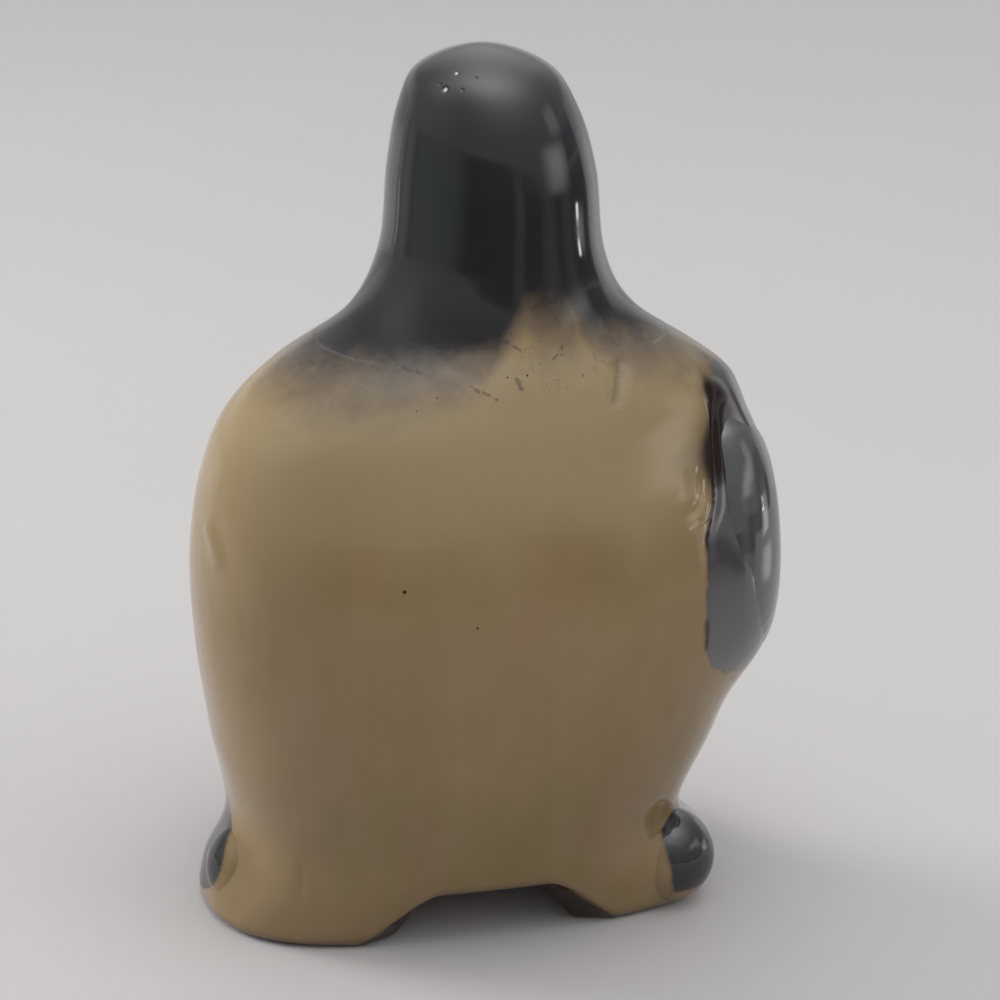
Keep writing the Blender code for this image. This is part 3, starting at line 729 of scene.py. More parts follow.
def inside_flank_dark(points):
    """How far points lie inside the dark glaze of the right flank, in mm, with the skin unrolled."""
    flat = np.column_stack([points[:, 2] / MM, bearings_of(points) * DEGREE])
    corners = np.array(FLANK_DARK) * (1.0, DEGREE)
    inside = np.zeros(len(flat), bool)
    near = np.full(len(flat), 99.0)
    for a, b in zip(corners, np.roll(corners, -1, axis=0)):
        crosses = (a[0] > flat[:, 0]) != (b[0] > flat[:, 0])
        at = a[1] + (b[1] - a[1]) * (flat[:, 0] - a[0]) / (b[0] - a[0] + 1e-9)
        inside ^= crosses & (flat[:, 1] < at)
        near = np.minimum(near, segment_distance(flat, a, b))
    return np.where(inside, near, -near)


def inside_foot_dark(points, name):
    """How far points lie inside the dark glaze of a foot, in mm: cream glaze laps over its heel."""
    x, y, z = (points - SHIFT).T / MM
    if name == "hind_foot_left":
        lap = 10.7 - 0.17 * (z - 9.0) ** 2 - y
        return np.where(y > 0, np.minimum(lap, z - 2.4), z - 1.2)
    if name == "hind_foot_right":
        lap = -25.0 - 0.18 * (11.5 - z) - x
        sole = z - np.where(y > 12, 4.0, 1.2)
        return np.where(y > 12, np.minimum(lap, sole), sole)
    return z - 1.0


# Lower edge of the head's dark glaze: bearing in degrees, height in mm, and how far it is blurred in mm.
DARK_EDGE = np.array(
    [
        (0.0, 86.8, 1.6),
        (10.0, 86.9, 1.6),
        (26.0, 87.6, 2.2),
        (44.0, 88.5, 2.3),
        (59.0, 89.2, 2.3),
        (73.0, 90.4, 2.0),
        (80.0, 91.0, 1.7),
        (86.0, 94.8, 1.2),
        (91.0, 96.8, 1.3),
        (98.0, 96.3, 2.3),
        (108.0, 95.4, 2.1),
        (114.0, 95.0, 1.5),
        (118.0, 93.2, 1.7),
        (127.0, 92.0, 2.2),
        (139.0, 90.6, 2.2),
        (153.0, 88.8, 1.8),
        (200.0, 87.6, 1.4),
        (270.0, 90.5, 1.0),
        (340.0, 88.0, 1.2),
        (360.0, 86.8, 1.6),
    ]
)


def bearings_of(points):
    """The bearing of each point as the sections of the skin count it, in degrees."""
    at = level(points[:, 2])
    wide, lean, middle, deep, square = (np.interp(at, PLACES, column) for column in PROFILE.T[1:])
    across = (points[:, 0] - SHIFT[0] - lean) / np.maximum(wide, MM)
    along = (points[:, 1] - SHIFT[1] - middle) / np.maximum(deep, MM)
    cosine = np.sign(across) * np.abs(across) ** (square / 2)
    sine = np.sign(along) * np.abs(along) ** (square / 2)
    return np.degrees(np.arctan2(sine, cosine)) % 360.0


def above_dark_edge(points):
    """How far a point lies over the lower edge of the head's dark glaze, and its blur there, in mm."""
    bearing = bearings_of(points)
    edge = np.interp(bearing, DARK_EDGE[:, 0], DARK_EDGE[:, 1])
    return points[:, 2] / MM - edge, np.interp(bearing, DARK_EDGE[:, 0], DARK_EDGE[:, 2])


def hex_colour(text):
    """An sRGB colour such as 8a7b60, turned to linear."""
    parts = [int(text[k : k + 2], 16) / 255 for k in (0, 2, 4)]
    linear = [c / 12.92 if c <= 0.04045 else ((c + 0.055) / 1.055) ** 2.4 for c in parts]
    return (*linear, 1.0)


SMOOTH = {"interpolation_type": "SMOOTHSTEP"}
COLOURS = {"data_type": "RGBA"}


def add(tree, kind, links=None, **settings):
    """Adds a node. Each entry of links gives an input its value, or the node or output that feeds it.

    Inputs that share a name go by number. A mapped range has its value at 0, the range at 1 and 2, and the
    height that it reaches at 4. A mix of colours has its share at 0 and the two colours at 6 and 7.
    """
    node = tree.nodes.new("ShaderNode" + kind)
    for name, value in settings.items():
        setattr(node, name, value)
    for name, value in (links or {}).items():
        if isinstance(value, bpy.types.Node):
            value = next(socket for socket in value.outputs if socket.enabled)
        if isinstance(value, bpy.types.NodeSocket):
            tree.links.new(value, node.inputs[name])
        else:
            node.inputs[name].default_value = value
    return node


def new_material(name):
    material = bpy.data.materials.new(name)
    material.use_nodes = True
    material.node_tree.nodes.clear()
    return material, material.node_tree


def give_shader(tree, links):
    """Ends a material's tree in one shader with the given inputs."""
    shader = add(tree, "BsdfPrincipled", links)
    add(tree, "OutputMaterial", {"Surface": shader})


def distance_to_line(tree, place, start, end):
    """Distance of the shaded point to a line between two points."""
    way = end - start
    off = add(tree, "VectorMath", {0: place, 1: tuple(start)}, operation="SUBTRACT")
    t = add(tree, "VectorMath", {0: off, 1: tuple(way / max(way @ way, 1e-12))}, operation="DOT_PRODUCT")
    t = add(tree, "Math", {0: t, 1: 1.0}, operation="MULTIPLY", use_clamp=True)
    foot = add(tree, "VectorMath", {0: tuple(way), "Scale": t}, operation="SCALE")
    return add(tree, "VectorMath", {0: off, 1: foot}, operation="DISTANCE")


# Lead-rich low-fired glaze bends light more than window glass does.
GLAZE_IOR = 1.7

# Coats of glaze: size of the patches in mm, detail and roughness of the noise that makes them, where it starts
# and ends to cover, how much it covers, and the colour.
CLAY_UNDER_CREAM = "7d6849"
FIRST_COAT = (24.0, 4.0, 0.5, 0.36, 0.66, 1.00, "75623f")
STREAKY_COATS = [
    (8.0, 4.0, 0.6, 0.36, 0.70, 0.40, "836d53"),
    (13.0, 3.0, 0.5, 0.52, 0.70, 0.32, "7e5c44"),
]
FRECKLES = (0.8, 2.0, 0.7, 0.62, 0.76, 0.10, "5a4a36")
BLACK_OXIDE = "191a1a"
BLACK_COAT = (9.0, 3.0, 0.5, 0.35, 0.65, 1.00, "1e1c1f")
STREAK_STRETCH = (1.0, 1.0, 0.32)

# Brown lines at the foot, partly brown clay edge and partly painted shade under the arch and where the feet
# meet the floor: where each starts and ends above the edge in mm, how much it covers, and the colour.
FOOT_LINES_AND_SHADE = [(2.6, 0.9, 0.45, "4c3326"), (1.25, 0.65, 1.00, "2e1f19")]

# Pits in the glaze of the crown: X, Y, Z and radius in mm, before the figure is moved over the origin.
CROWN_PITS = [
    (6.1, 15.5, 127.2, 0.55),
    (7.9, 16.4, 125.2, 0.75),
    (8.3, 15.3, 125.7, 0.45),
    (3.9, 17.3, 126.9, 0.45),
    (5.9, 17.9, 125.4, 0.40),
]
PIT_DEPTH = 2.6
PIT_GLINTS_FROM = 0.5

# Thin rolls of slip left beside the shoulder, with a painted highlight along their middle: both ends as height
# and bearing, and half width.
SLIP_ROLLS = [
    (71.8, 131.0, 70.2, 127.8, 0.42),
    (70.2, 127.8, 67.4, 126.0, 0.42),
    (69.8, 131.8, 67.0, 129.6, 0.34),
    (66.2, 132.6, 64.8, 130.4, 0.40),
    (64.8, 130.4, 64.4, 127.6, 0.40),
    (64.4, 126.0, 63.9, 124.0, 0.44),
]
ROLL_HEIGHT = 3.0

# Scratches and smears on the nape: both ends as height and bearing, and half width.
NAPE_SCRATCHES = [
    (88.9, 41.0, 88.5, 46.0, 0.35),
    (88.2, 47.0, 87.4, 55.0, 0.28),
    (87.6, 56.0, 87.3, 58.5, 0.30),
    (91.4, 82.0, 91.1, 84.0, 0.34),
    (90.9, 85.0, 90.0, 90.0, 0.16),
    (91.9, 77.0, 90.9, 80.0, 0.20),
    (89.6, 104.0, 88.2, 100.0, 0.24),
    (89.2, 104.5, 90.2, 105.5, 0.18),
    (86.0, 76.0, 85.2, 79.0, 0.30),
    (85.2, 80.0, 84.2, 84.5, 0.24),
    (86.6, 89.0, 85.4, 90.5, 0.46),
    (94.4, 104.0, 92.8, 107.5, 0.16),
]
SCRATCH_RAGGED = 1.1 * MM

# Pinholes that show singly: height, bearing and radius.
PINHOLES = [
    (59.2, 67.0, 0.36),
    (53.7, 81.0, 0.24),
    (88.0, 30.0, 0.26),
    (84.6, 68.0, 0.20),
    (87.0, 92.0, 0.22),
    (83.0, 64.0, 0.16),
    (86.9, 86.0, 0.20),
    (92.4, 84.5, 0.16),
]


def lay_coat(tree, under, place, coat):
    """Lays one patchy coat of glaze over the colour beneath it."""
    size, detail, roughness, low, high, share, colour = coat
    grain = {"Vector": place, "Scale": 1 / (size * MM), "Detail": detail, "Roughness": roughness}
    patches = add(tree, "TexNoise", grain)
    cover = add(tree, "MapRange", {0: patches, 1: low, 2: high, 4: share}, **SMOOTH)
    return add(tree, "Mix", {0: cover, 6: under, 7: hex_colour(colour)}, **COLOURS)


def cream_coats(tree, place, height):
    """Cream, brushed on in broad, slightly streaky coats over a warm clay, and painted paler towards the
    shoulders as a painted highlight where the overhead light falls.
    """
    streaks = add(tree, "Mapping", {"Vector": place, "Scale": STREAK_STRETCH})
    cream = lay_coat(tree, hex_colour(CLAY_UNDER_CREAM), place, FIRST_COAT)
    for coat in STREAKY_COATS:
        cream = lay_coat(tree, cream, streaks, coat)
    waves = add(tree, "TexNoise", {"Vector": place, "Scale": 1 / (16 * MM), "Detail": 3.0})
    uneven = add(tree, "Math", {0: waves, 1: 24 * MM, 2: height}, operation="MULTIPLY_ADD")
    # Painted highlight: the cream turns paler up towards the shoulders, standing in for the overhead light on
    # them.
    painted_top_highlight = add(tree, "MapRange", {0: uneven, 1: 62 * MM, 2: 84 * MM, 4: 0.8}, **SMOOTH)
    cream = add(tree, "Mix", {0: painted_top_highlight, 6: cream, 7: hex_colour("8a7757")}, **COLOURS)
    return lay_coat(tree, cream, place, FRECKLES)


def nape_edge(tree, place, stored, fringe):
    """How smoky the nape is, and where it is black: the edge wanders in clouds and in a fine fringe."""
    cloud = add(tree, "TexNoise", {"Vector": place, "Scale": 1 / (5.0 * MM), "Detail": 4.0, "Roughness": 0.55})
    cloud = add(tree, "Math", {0: cloud, 1: 0.5}, operation="SUBTRACT")
    wander = add(tree, "Math", {0: fringe, 1: 1.1}, operation="MULTIPLY")
    wander = add(tree, "Math", {0: cloud, 1: 2.2, 2: wander}, operation="MULTIPLY_ADD")
    bled = add(tree, "Math", {0: stored["dark"], 1: stored["blur"]}, operation="DIVIDE")
    bled = add(tree, "Math", {0: bled, 1: wander}, operation="ADD")
    haze = add(tree, "MapRange", {0: bled, 1: -4.7, 2: 0.1, 4: 0.88}, **SMOOTH)
    black = add(tree, "MapRange", {0: bled, 1: -1.0, 2: 1.1}, **SMOOTH)
    return haze, black


def two_glazes(tree, place, height, stored):
    """Colour of cream and black where they meet, with the share of black and of the forelegs' milky black,
    which is partly painted sheen.
    """
    fringe = add(tree, "TexNoise", {"Vector": place, "Scale": 1 / (1.5 * MM), "Detail": 3.0, "Roughness": 0.6})
    fringe = add(tree, "Math", {0: fringe, 1: 0.5}, operation="SUBTRACT")
    haze, head_black = nape_edge(tree, place, stored, fringe)
    cream = cream_coats(tree, place, height)
    cream = add(tree, "Mix", {0: haze, 6: cream, 7: hex_colour("463b33")}, **COLOURS)

    # On limbs and feet the black has a drawn edge, and is brown where it lies thin.
    drawn = add(tree, "Math", {0: fringe, 1: 0.7, 2: stored["drawn"]}, operation="MULTIPLY_ADD")
    brown = add(tree, "MapRange", {0: drawn, 1: -0.8, 2: 0.1, 4: 0.6}, **SMOOTH)
    cream = add(tree, "Mix", {0: brown, 6: cream, 7: hex_colour("4a3630")}, **COLOURS)
    limb_black = add(tree, "MapRange", {0: drawn, 1: -0.25, 2: 0.30}, **SMOOTH)
    # Partly painted sheen: the forelegs' black turns a milky grey, standing in for the grey reflection of the
    # room on them.
    milky_black_and_sheen = limb_black
    limits = ((height, 30 * MM, 42 * MM), (height, 92 * MM, 84 * MM), (stored["pool_and_shade"], 0.5, 0.1))
    for value, start, end in limits:
        share = add(tree, "MapRange", {0: value, 1: start, 2: end}, **SMOOTH)
        milky_black_and_sheen = add(tree, "Math", {0: milky_black_and_sheen, 1: share}, operation="MULTIPLY")
    dark = lay_coat(tree, hex_colour(BLACK_OXIDE), place, BLACK_COAT)
    dark = add(tree, "Mix", {0: milky_black_and_sheen, 6: dark, 7: hex_colour("39373a")}, **COLOURS)
    black = add(tree, "Math", {0: head_black, 1: limb_black}, operation="MAXIMUM")
    return add(tree, "Mix", {0: black, 6: cream, 7: dark}, **COLOURS), black, milky_black_and_sheen


def pools_and_foot(tree, place, stored, colour):
    """Adds brown-black pooled glaze with painted shade in the crease beside the shoulder, and brown lines at
    the foot with painted shade along its edge.
    """
    # Pooled glaze and painted shade: brown-black beside the crease between shoulder and raised foreleg, and in
    # a few dashes.
    colour = add(tree, "Mix", {0: stored["pool_and_shade"], 6: colour, 7: hex_colour("1d1210")}, **COLOURS)
    waves = add(tree, "TexNoise", {"Vector": place, "Scale": 1 / (2.2 * MM), "Detail": 3.0})
    wavy_height_over_edge = add(tree, "Math", {0: waves, 1: 0.7, 2: stored["foot"]}, operation="MULTIPLY_ADD")
    # Partly painted shade: the glaze darkens to brown along the foot's edge and on the soles under the arch.
    for start, end, share, brown in FOOT_LINES_AND_SHADE:
        line = add(tree, "MapRange", {0: wavy_height_over_edge, 1: start, 2: end, 4: share}, **SMOOTH)
        colour = add(tree, "Mix", {0: line, 6: colour, 7: hex_colour(brown)}, **COLOURS)
    return colour


def nape_marks(tree, place, stored):
    """Specks and smears in the tooled band across the nape, and the ragged scratches round it."""
    cells = add(tree, "TexVoronoi", {"Vector": place, "Scale": 1 / (2.3 * MM)})
    specks = add(tree, "MapRange", {0: cells, 1: 0.13, 2: 0.06}, **SMOOTH)
    patches = add(tree, "TexNoise", {"Vector": place, "Scale": 1 / (6 * MM)})
    patches = add(tree, "MapRange", {0: patches, 1: 0.48, 2: 0.60}, **SMOOTH)
    specks = add(tree, "Math", {0: specks, 1: patches}, operation="MULTIPLY")
    veins = add(tree, "TexNoise", {"Vector": place, "Scale": 1 / (6 * MM), "Detail": 4.0, "Roughness": 0.6})
    veins = add(tree, "Math", {0: veins, 1: 0.5}, operation="SUBTRACT")
    veins = add(tree, "Math", {0: veins}, operation="ABSOLUTE")
    smears = add(tree, "MapRange", {0: veins, 1: 0.012, 2: 0.002, 4: 0.35}, **SMOOTH)
    marks = add(tree, "Math", {0: specks, 1: smears}, operation="MAXIMUM")
    marks = add(tree, "Math", {0: marks, 1: stored["luting"]}, operation="MULTIPLY")
    ragged = add(tree, "TexNoise", {"Vector": place, "Scale": 1 / (0.8 * MM)})
    ragged = add(tree, "Math", {0: ragged, 1: 0.5}, operation="SUBTRACT")
    for *ends, half in NAPE_SCRATCHES:
        off = distance_to_line(tree, place, *skin_line(*ends))
        off = add(tree, "Math", {0: ragged, 1: SCRATCH_RAGGED, 2: off}, operation="MULTIPLY_ADD")
        scratch = add(tree, "MapRange", {0: off, 1: half * MM, 2: 0.3 * half * MM, 4: 0.8}, **SMOOTH)
        marks = add(tree, "Math", {0: marks, 1: scratch}, operation="MAXIMUM")
    return marks


def pinholes(tree, place):
    holes = 0.0
    for height, bearing, radius in PINHOLES:
        centre = tuple(anchor(height * MM, bearing, 0.0)[0])
        off = add(tree, "VectorMath", {0: place, 1: centre}, operation="DISTANCE")
        hole = add(tree, "MapRange", {0: off, 1: radius * MM, 2: 0.5 * radius * MM}, **SMOOTH)
        holes = add(tree, "Math", {0: holes, 1: hole}, operation="MAXIMUM")
    return holes


def pits_and_rolls(tree, place, colour):
    """Adds the crown's pits, the larger with a painted glint, and the rolls of slip with a painted highlight
    along them; gives colour and depth.
    """
    depth = 0.0
    for *centre, radius in CROWN_PITS:
        centre = tuple(np.array(centre) * MM + SHIFT)
        size = radius * MM
        off = add(tree, "VectorMath", {0: place, 1: centre}, operation="DISTANCE")
        pit = add(tree, "MapRange", {0: off, 1: size, 2: 0.2 * size, 4: PIT_DEPTH * radius}, **SMOOTH)
        depth = add(tree, "Math", {0: depth, 1: pit}, operation="ADD")
        if radius > PIT_GLINTS_FROM:
            # Painted highlight: a pale grey glint in the larger pits.
            glint = add(tree, "MapRange", {0: off, 1: 0.55 * size, 2: 0.3 * size, 4: 0.9}, **SMOOTH)
            colour = add(tree, "Mix", {0: glint, 6: colour, 7: hex_colour("b4b6ba")}, **COLOURS)
    for *ends, half in SLIP_ROLLS:
        size = half * MM
        off = distance_to_line(tree, place, *skin_line(*ends))
        roll = add(tree, "MapRange", {0: off, 1: 1.6 * size, 2: 0.0, 4: ROLL_HEIGHT * half}, **SMOOTH)
        depth = add(tree, "Math", {0: depth, 1: roll}, operation="SUBTRACT")
        # Painted highlight: a pale tint along the middle of each roll.
        pale = add(tree, "MapRange", {0: off, 1: 0.9 * size, 2: 0.2 * size, 4: 0.55}, **SMOOTH)
        colour = add(tree, "Mix", {0: pale, 6: colour, 7: hex_colour("b4a78f")}, **COLOURS)
    return colour, depth


def glaze_relief(tree, place, stored, depth):
    """A slight ripple in the glaze, its pits and rolls, and grit in the tooled band."""
    ripple = add(tree, "TexNoise", {"Vector": place, "Scale": 1 / (3.4 * MM), "Roughness": 0.4})
    relief = add(tree, "Math", {0: ripple, 1: 0.04}, operation="MULTIPLY")
    relief = add(tree, "Math", {0: relief, 1: depth}, operation="SUBTRACT")
    grit = add(tree, "TexNoise", {"Vector": place, "Scale": 1 / (1.3 * MM), "Detail": 3.0})
    grit = add(tree, "Math", {0: grit, 1: stored["luting"]}, operation="MULTIPLY")
    relief = add(tree, "Math", {0: grit, 1: 0.22, 2: relief}, operation="MULTIPLY_ADD")
    return add(tree, "Bump", {"Height": relief, "Distance": 0.25 * MM, "Strength": 0.5})


def glaze_gloss(tree, height, stored, black, milky_black_and_sheen):
    """Black shines more than cream, most on the forelegs' milky black with its painted sheen; thin black under
    the neck, pooled glaze and painted crease shade are duller.
    """
    top = add(tree, "MapRange", {0: height, 1: 98 * MM, 2: 90 * MM}, **SMOOTH)
    thin = add(tree, "MapRange", {0: height, 1: 82 * MM, 2: 88 * MM}, **SMOOTH)
    thin = add(tree, "Math", {0: thin, 1: top}, operation="MULTIPLY")
    more = add(tree, "Math", {0: thin, 1: -0.26, 2: 0.16}, operation="MULTIPLY_ADD")
    gloss = add(tree, "Math", {0: milky_black_and_sheen, 1: 0.26, 2: 0.34}, operation="MULTIPLY_ADD")
    gloss = add(tree, "Math", {0: black, 1: more, 2: gloss}, operation="MULTIPLY_ADD")
    clear = add(tree, "Math", {0: stored["pool_and_shade"], 1: -0.75, 2: 1.0}, operation="MULTIPLY_ADD")
    return add(tree, "Math", {0: gloss, 1: clear}, operation="MULTIPLY")


def fired_glaze():
    """Two glazes over earthenware, fired to a wet gloss: an uneven cream, and a black that blurs at the nape.

    The eye gets clear reflections in a slightly wavy surface, brown-black where glaze pools and where shade in
    the crease is painted, and a few pinholes.
    """
    material, tree = new_material("cream_and_black_earthenware_glaze")
    place = add(tree, "TexCoord").outputs["Object"]
    height = add(tree, "SeparateXYZ", {"Vector": place}).outputs["Z"]
    names = ("dark", "blur", "drawn", "pool_and_shade", "foot", "luting")
    stored = {name: add(tree, "Attribute", attribute_name=name).outputs["Fac"] for name in names}
    colour, black, milky_black_and_sheen = two_glazes(tree, place, height, stored)
    colour = pools_and_foot(tree, place, stored, colour)
    marks = nape_marks(tree, place, stored)
    stain = add(tree, "Math", {0: marks, 1: 0.72}, operation="MULTIPLY")
    colour = add(tree, "Mix", {0: stain, 6: colour, 7: hex_colour("38291f")}, **COLOURS)
    colour = add(tree, "Mix", {0: pinholes(tree, place), 6: colour, 7: hex_colour("22130f")}, **COLOURS)
    colour, depth = pits_and_rolls(tree, place, colour)
    rough = add(tree, "Math", {0: stored["luting"], 1: 0.14, 2: 0.06}, operation="MULTIPLY_ADD")
    rough = add(tree, "Math", {0: marks, 1: 0.3, 2: rough}, operation="MULTIPLY_ADD")
    relief = glaze_relief(tree, place, stored, depth)
    gloss = glaze_gloss(tree, height, stored, black, milky_black_and_sheen)
    links = {"Base Color": colour, "Roughness": rough, "Normal": relief, "Specular IOR Level": gloss}
    give_shader(tree, links | {"IOR": GLAZE_IOR})
    return material


# Ovals on the bead, under to upper: how much narrower and shorter than the bead, where the edge starts and
# ends, and the tone: first the rim, then the slit pupil.
BEAD_OVALS = [(1.0, 1.0, 0.62, 0.86, "15202a"), (4.2, 1.25, 1.10, 0.85, "0b0c0e")]


def bead_glaze():
    """Pale blue glaze in a bead, with a dark slit pupil and a dark rim, under a clear wet gloss."""
    material, tree = new_material("blue_bead_glaze")
    place = add(tree, "TexCoord").outputs["Object"]
    across = add(tree, "Attribute", attribute_name="across").outputs["Fac"]
    rise = add(tree, "Attribute", attribute_name="rise").outputs["Fac"]
    cloud = add(tree, "TexNoise", {"Vector": place, "Scale": 1 / (1.1 * MM)})
    colour = add(tree, "Mix", {0: cloud, 6: hex_colour("6fa4c4"), 7: hex_colour("3f789f")}, **COLOURS)
    for narrower, shorter, start, end, tone in BEAD_OVALS:
        wide = add(tree, "Math", {0: across, 1: narrower}, operation="MULTIPLY")
        wide = add(tree, "Math", {0: wide, 1: wide}, operation="MULTIPLY")
        tall = add(tree, "Math", {0: rise, 1: shorter}, operation="MULTIPLY")
        oval = add(tree, "Math", {0: tall, 1: tall, 2: wide}, operation="MULTIPLY_ADD")
        edge = add(tree, "MapRange", {0: oval, 1: start, 2: end})
        colour = add(tree, "Mix", {0: edge, 6: colour, 7: hex_colour(tone)}, **COLOURS)
    give_shader(tree, {"Base Color": colour, "Roughness": 0.04, "IOR": 1.52})
    return material


def bare_clay():
    """Unglazed fired earthenware: dry, pale tan and gritty, with dark grog grains."""
    material, tree = new_material("bare_fired_clay")
    place = add(tree, "TexCoord").outputs["Object"]
    tone = add(tree, "TexNoise", {"Vector": place, "Scale": 1 / (9 * MM), "Detail": 5.0})
    grain = add(tree, "TexNoise", {"Vector": place, "Scale": 1 / (0.5 * MM), "Detail": 3.0})
    cells = add(tree, "TexVoronoi", {"Vector": place, "Scale": 1 / (1.3 * MM)})
    grog = add(tree, "MapRange", {0: cells, 1: 0.16, 2: 0.08})
    colour = add(tree, "Mix", {0: tone, 6: hex_colour("b39a7d"), 7: hex_colour("9a8266")}, **COLOURS)
    colour = add(tree, "Mix", {0: grog, 6: colour, 7: hex_colour("5b4838")}, **COLOURS)
    bump = add(tree, "Bump", {"Height": grain, "Distance": 0.1 * MM, "Strength": 0.6})
    give_shader(tree, {"Base Color": colour, "Roughness": 0.85, "Normal": bump})
    return material


def nose_glaze():
    """A brown-pink stain under clear glaze."""
    material, tree = new_material("stained_nose_glaze")
    place = add(tree, "TexCoord").outputs["Object"]
    tone = add(tree, "TexNoise", {"Vector": place, "Scale": 1 / (0.9 * MM), "Detail": 4.0})
    colour = add(tree, "Mix", {0: tone, 6: hex_colour("4a302c"), 7: hex_colour("2f201e")}, **COLOURS)
    give_shader(tree, {"Base Color": colour, "Roughness": 0.1})
    return material


BACKDROP = "cac6c5"
FLOOR_HALF_SIDE = 4.0
FLOOR_CLOUDS_PER_METRE = 7.0


def pale_floor():
    """The plain pale floor: matt, with barely visible broad unevenness."""
    material, tree = new_material("matt_pale_floor")
    place = add(tree, "TexCoord").outputs["Object"]
    tone = add(tree, "TexNoise", {"Vector": place, "Scale": FLOOR_CLOUDS_PER_METRE})
    colour = add(tree, "Mix", {0: tone, 6: hex_colour("aeaaa9"), 7: hex_colour("b2aead")}, **COLOURS)
    give_shader(tree, {"Base Color": colour, "Roughness": 0.9, "Specular IOR Level": 0.0})
    return material


def floor():
    side = FLOOR_HALF_SIDE
    corners = [(-side, -side, 0), (side, -side, 0), (side, side, 0), (-side, side, 0)]
    obj = mesh_object("floor", np.array(corners, float), [(0, 1, 2, 3)])
    obj.data.materials.append(pale_floor())


def outward(azimuth, elevation):
    """Direction at an azimuth from the front (-Y) towards the cat's left (+X), and at an elevation."""
    a, e = math.radians(azimuth), math.radians(elevation)
    return Vector((math.sin(a) * math.cos(e), -math.cos(a) * math.cos(e), math.sin(e)))


def glow_by_azimuth(tree, way, panes, ground):
    """Mixes upright panes of light, given by azimuth, half width, softness and colour, over a ground."""
    split = add(tree, "SeparateXYZ", {"Vector": way}).outputs
    glow = ground
    for azimuth, half, soft, colour in panes:
        cosine, sine = math.cos(math.radians(azimuth)), math.sin(math.radians(azimuth))
        side = add(tree, "Math", {0: split["X"], 1: cosine}, operation="MULTIPLY")
        side = add(tree, "Math", {0: split["Y"], 1: sine, 2: side}, operation="MULTIPLY_ADD")
        ahead = add(tree, "Math", {0: split["X"], 1: sine}, operation="MULTIPLY")
        ahead = add(tree, "Math", {0: split["Y"], 1: -cosine, 2: ahead}, operation="MULTIPLY_ADD")
        turn = add(tree, "Math", {0: side, 1: ahead}, operation="ARCTAN2")
        turn = add(tree, "Math", {0: turn}, operation="ABSOLUTE")
        outer, inner = math.radians(half + soft), math.radians(half - soft)
        inside = add(tree, "MapRange", {0: turn, 1: outer, 2: inner}, **SMOOTH)
        glow = add(tree, "Mix", {0: inside, 6: glow, 7: colour}, **COLOURS)
    return glow


def grey(value, tint=(1.0, 1.0, 1.0)):
    return (*(value * t for t in tint), 1.0)


GREENISH = (0.90, 1.05, 1.05)
PURPLISH = (1.04, 0.94, 1.08)
WARMISH = (1.0, 0.97, 0.95)

ROOM_LEVEL = grey(0.36, (0.98, 1.0, 1.01))
FLAG_LEVEL = grey(0.11, PURPLISH)

# What stands round the camera side of the room, low down: azimuth, half width, softness, tone.
ROOM_PANES = [
    (97.0, 30.0, 14.0, grey(0.31, GREENISH)),
    (57.0, 7.0, 5.0, grey(0.42)),
    (42.0, 6.0, 5.0, grey(0.50)),
    (191.0, 5.0, 4.0, grey(0.26)),
    (226.0, 8.0, 6.0, grey(0.25)),
    (251.0, 7.0, 5.0, grey(0.22, PURPLISH)),
]

# Dark cards on the floor: name, azimuths of both ends, inner radius, and the radius from which it is all dark.
FLAGS = [
    ("dark_flag_centre", 100.0, 246.0, 0.09, 0.36),
    ("dark_flag_left", 39.0, 100.0, 0.34, 0.52),
    ("dark_flag_right", 246.0, 288.0, 0.36, 0.52),
]
FLAG_FADES_FROM = 0.7
FLAG_FADES_TO = 6.0
FLAG_OUTER = 9.0
FLAG_LIFT = 1.0 * MM
FLAG_STEPS = 60

# Upright cards that face the figurine: name, azimuth, distance, height, size, radiance and softness.
CARDS = [
    ("curtain_gap_right", 266.0, 0.40, 0.036, (0.032, 0.017), 7.0, 0.3),
    ("curtain_gap_left", 46.0, 0.40, 0.030, (0.010, 0.040), 1.2, 0.02),
    ("pale_card_right", 300.0, 0.32, 0.055, (0.240, 0.200), 0.9, 0.9),
    ("low_card_right", 268.0, 0.30, 0.020, (0.110, 0.090), 2.0, 0.9),
    ("high_card_right", 240.0, 0.30, 0.122, (0.250, 0.090), 1.4, 0.9),
    ("floor_glow_right", 264.0, 0.135, 0.020, (0.060, 0.036), 1.5, 0.9),
]


def stage_in_gloss(obj, material):
    """Gives a card its material and makes it show only in reflections."""
    obj.data.materials.append(material)
    obj.visible_camera = False
    obj.visible_diffuse = False
    obj.visible_transmission = False
    obj.visible_volume_scatter = False
    obj.visible_shadow = False


def dark_flag(name, start, end, inner, dark_from):
    """A dark card on the floor on the camera side, which stands for the dim room that the glaze reflects."""
    azimuths = np.radians(np.linspace(start, end, FLAG_STEPS + 1))
    points = [(r * math.sin(a), -r * math.cos(a), FLAG_LIFT) for r in (inner, FLAG_OUTER) for a in azimuths]
    outer_row = FLAG_STEPS + 1
    faces = [(k, k + 1, outer_row + k + 1, outer_row + k) for k in range(FLAG_STEPS)]
    material, tree = new_material("dim_room_card")
    place = add(tree, "TexCoord").outputs["Object"]
    tone = glow_by_azimuth(tree, place, ROOM_PANES, FLAG_LEVEL)
    far = add(tree, "VectorMath", {0: place}, operation="LENGTH")
    away = add(tree, "MapRange", {0: far, 1: FLAG_FADES_FROM, 2: FLAG_FADES_TO}, **SMOOTH)
    tone = add(tree, "Mix", {0: away, 6: tone, 7: ROOM_LEVEL}, **COLOURS)
    near = add(tree, "MapRange", {0: far, 1: inner, 2: dark_from}, **SMOOTH)
    tone = add(tree, "Mix", {0: near, 6: hex_colour(BACKDROP), 7: tone}, **COLOURS)
    light = add(tree, "Emission", {"Color": tone})
    add(tree, "OutputMaterial", {"Surface": light})
    stage_in_gloss(mesh_object(name, np.array(points), faces), material)


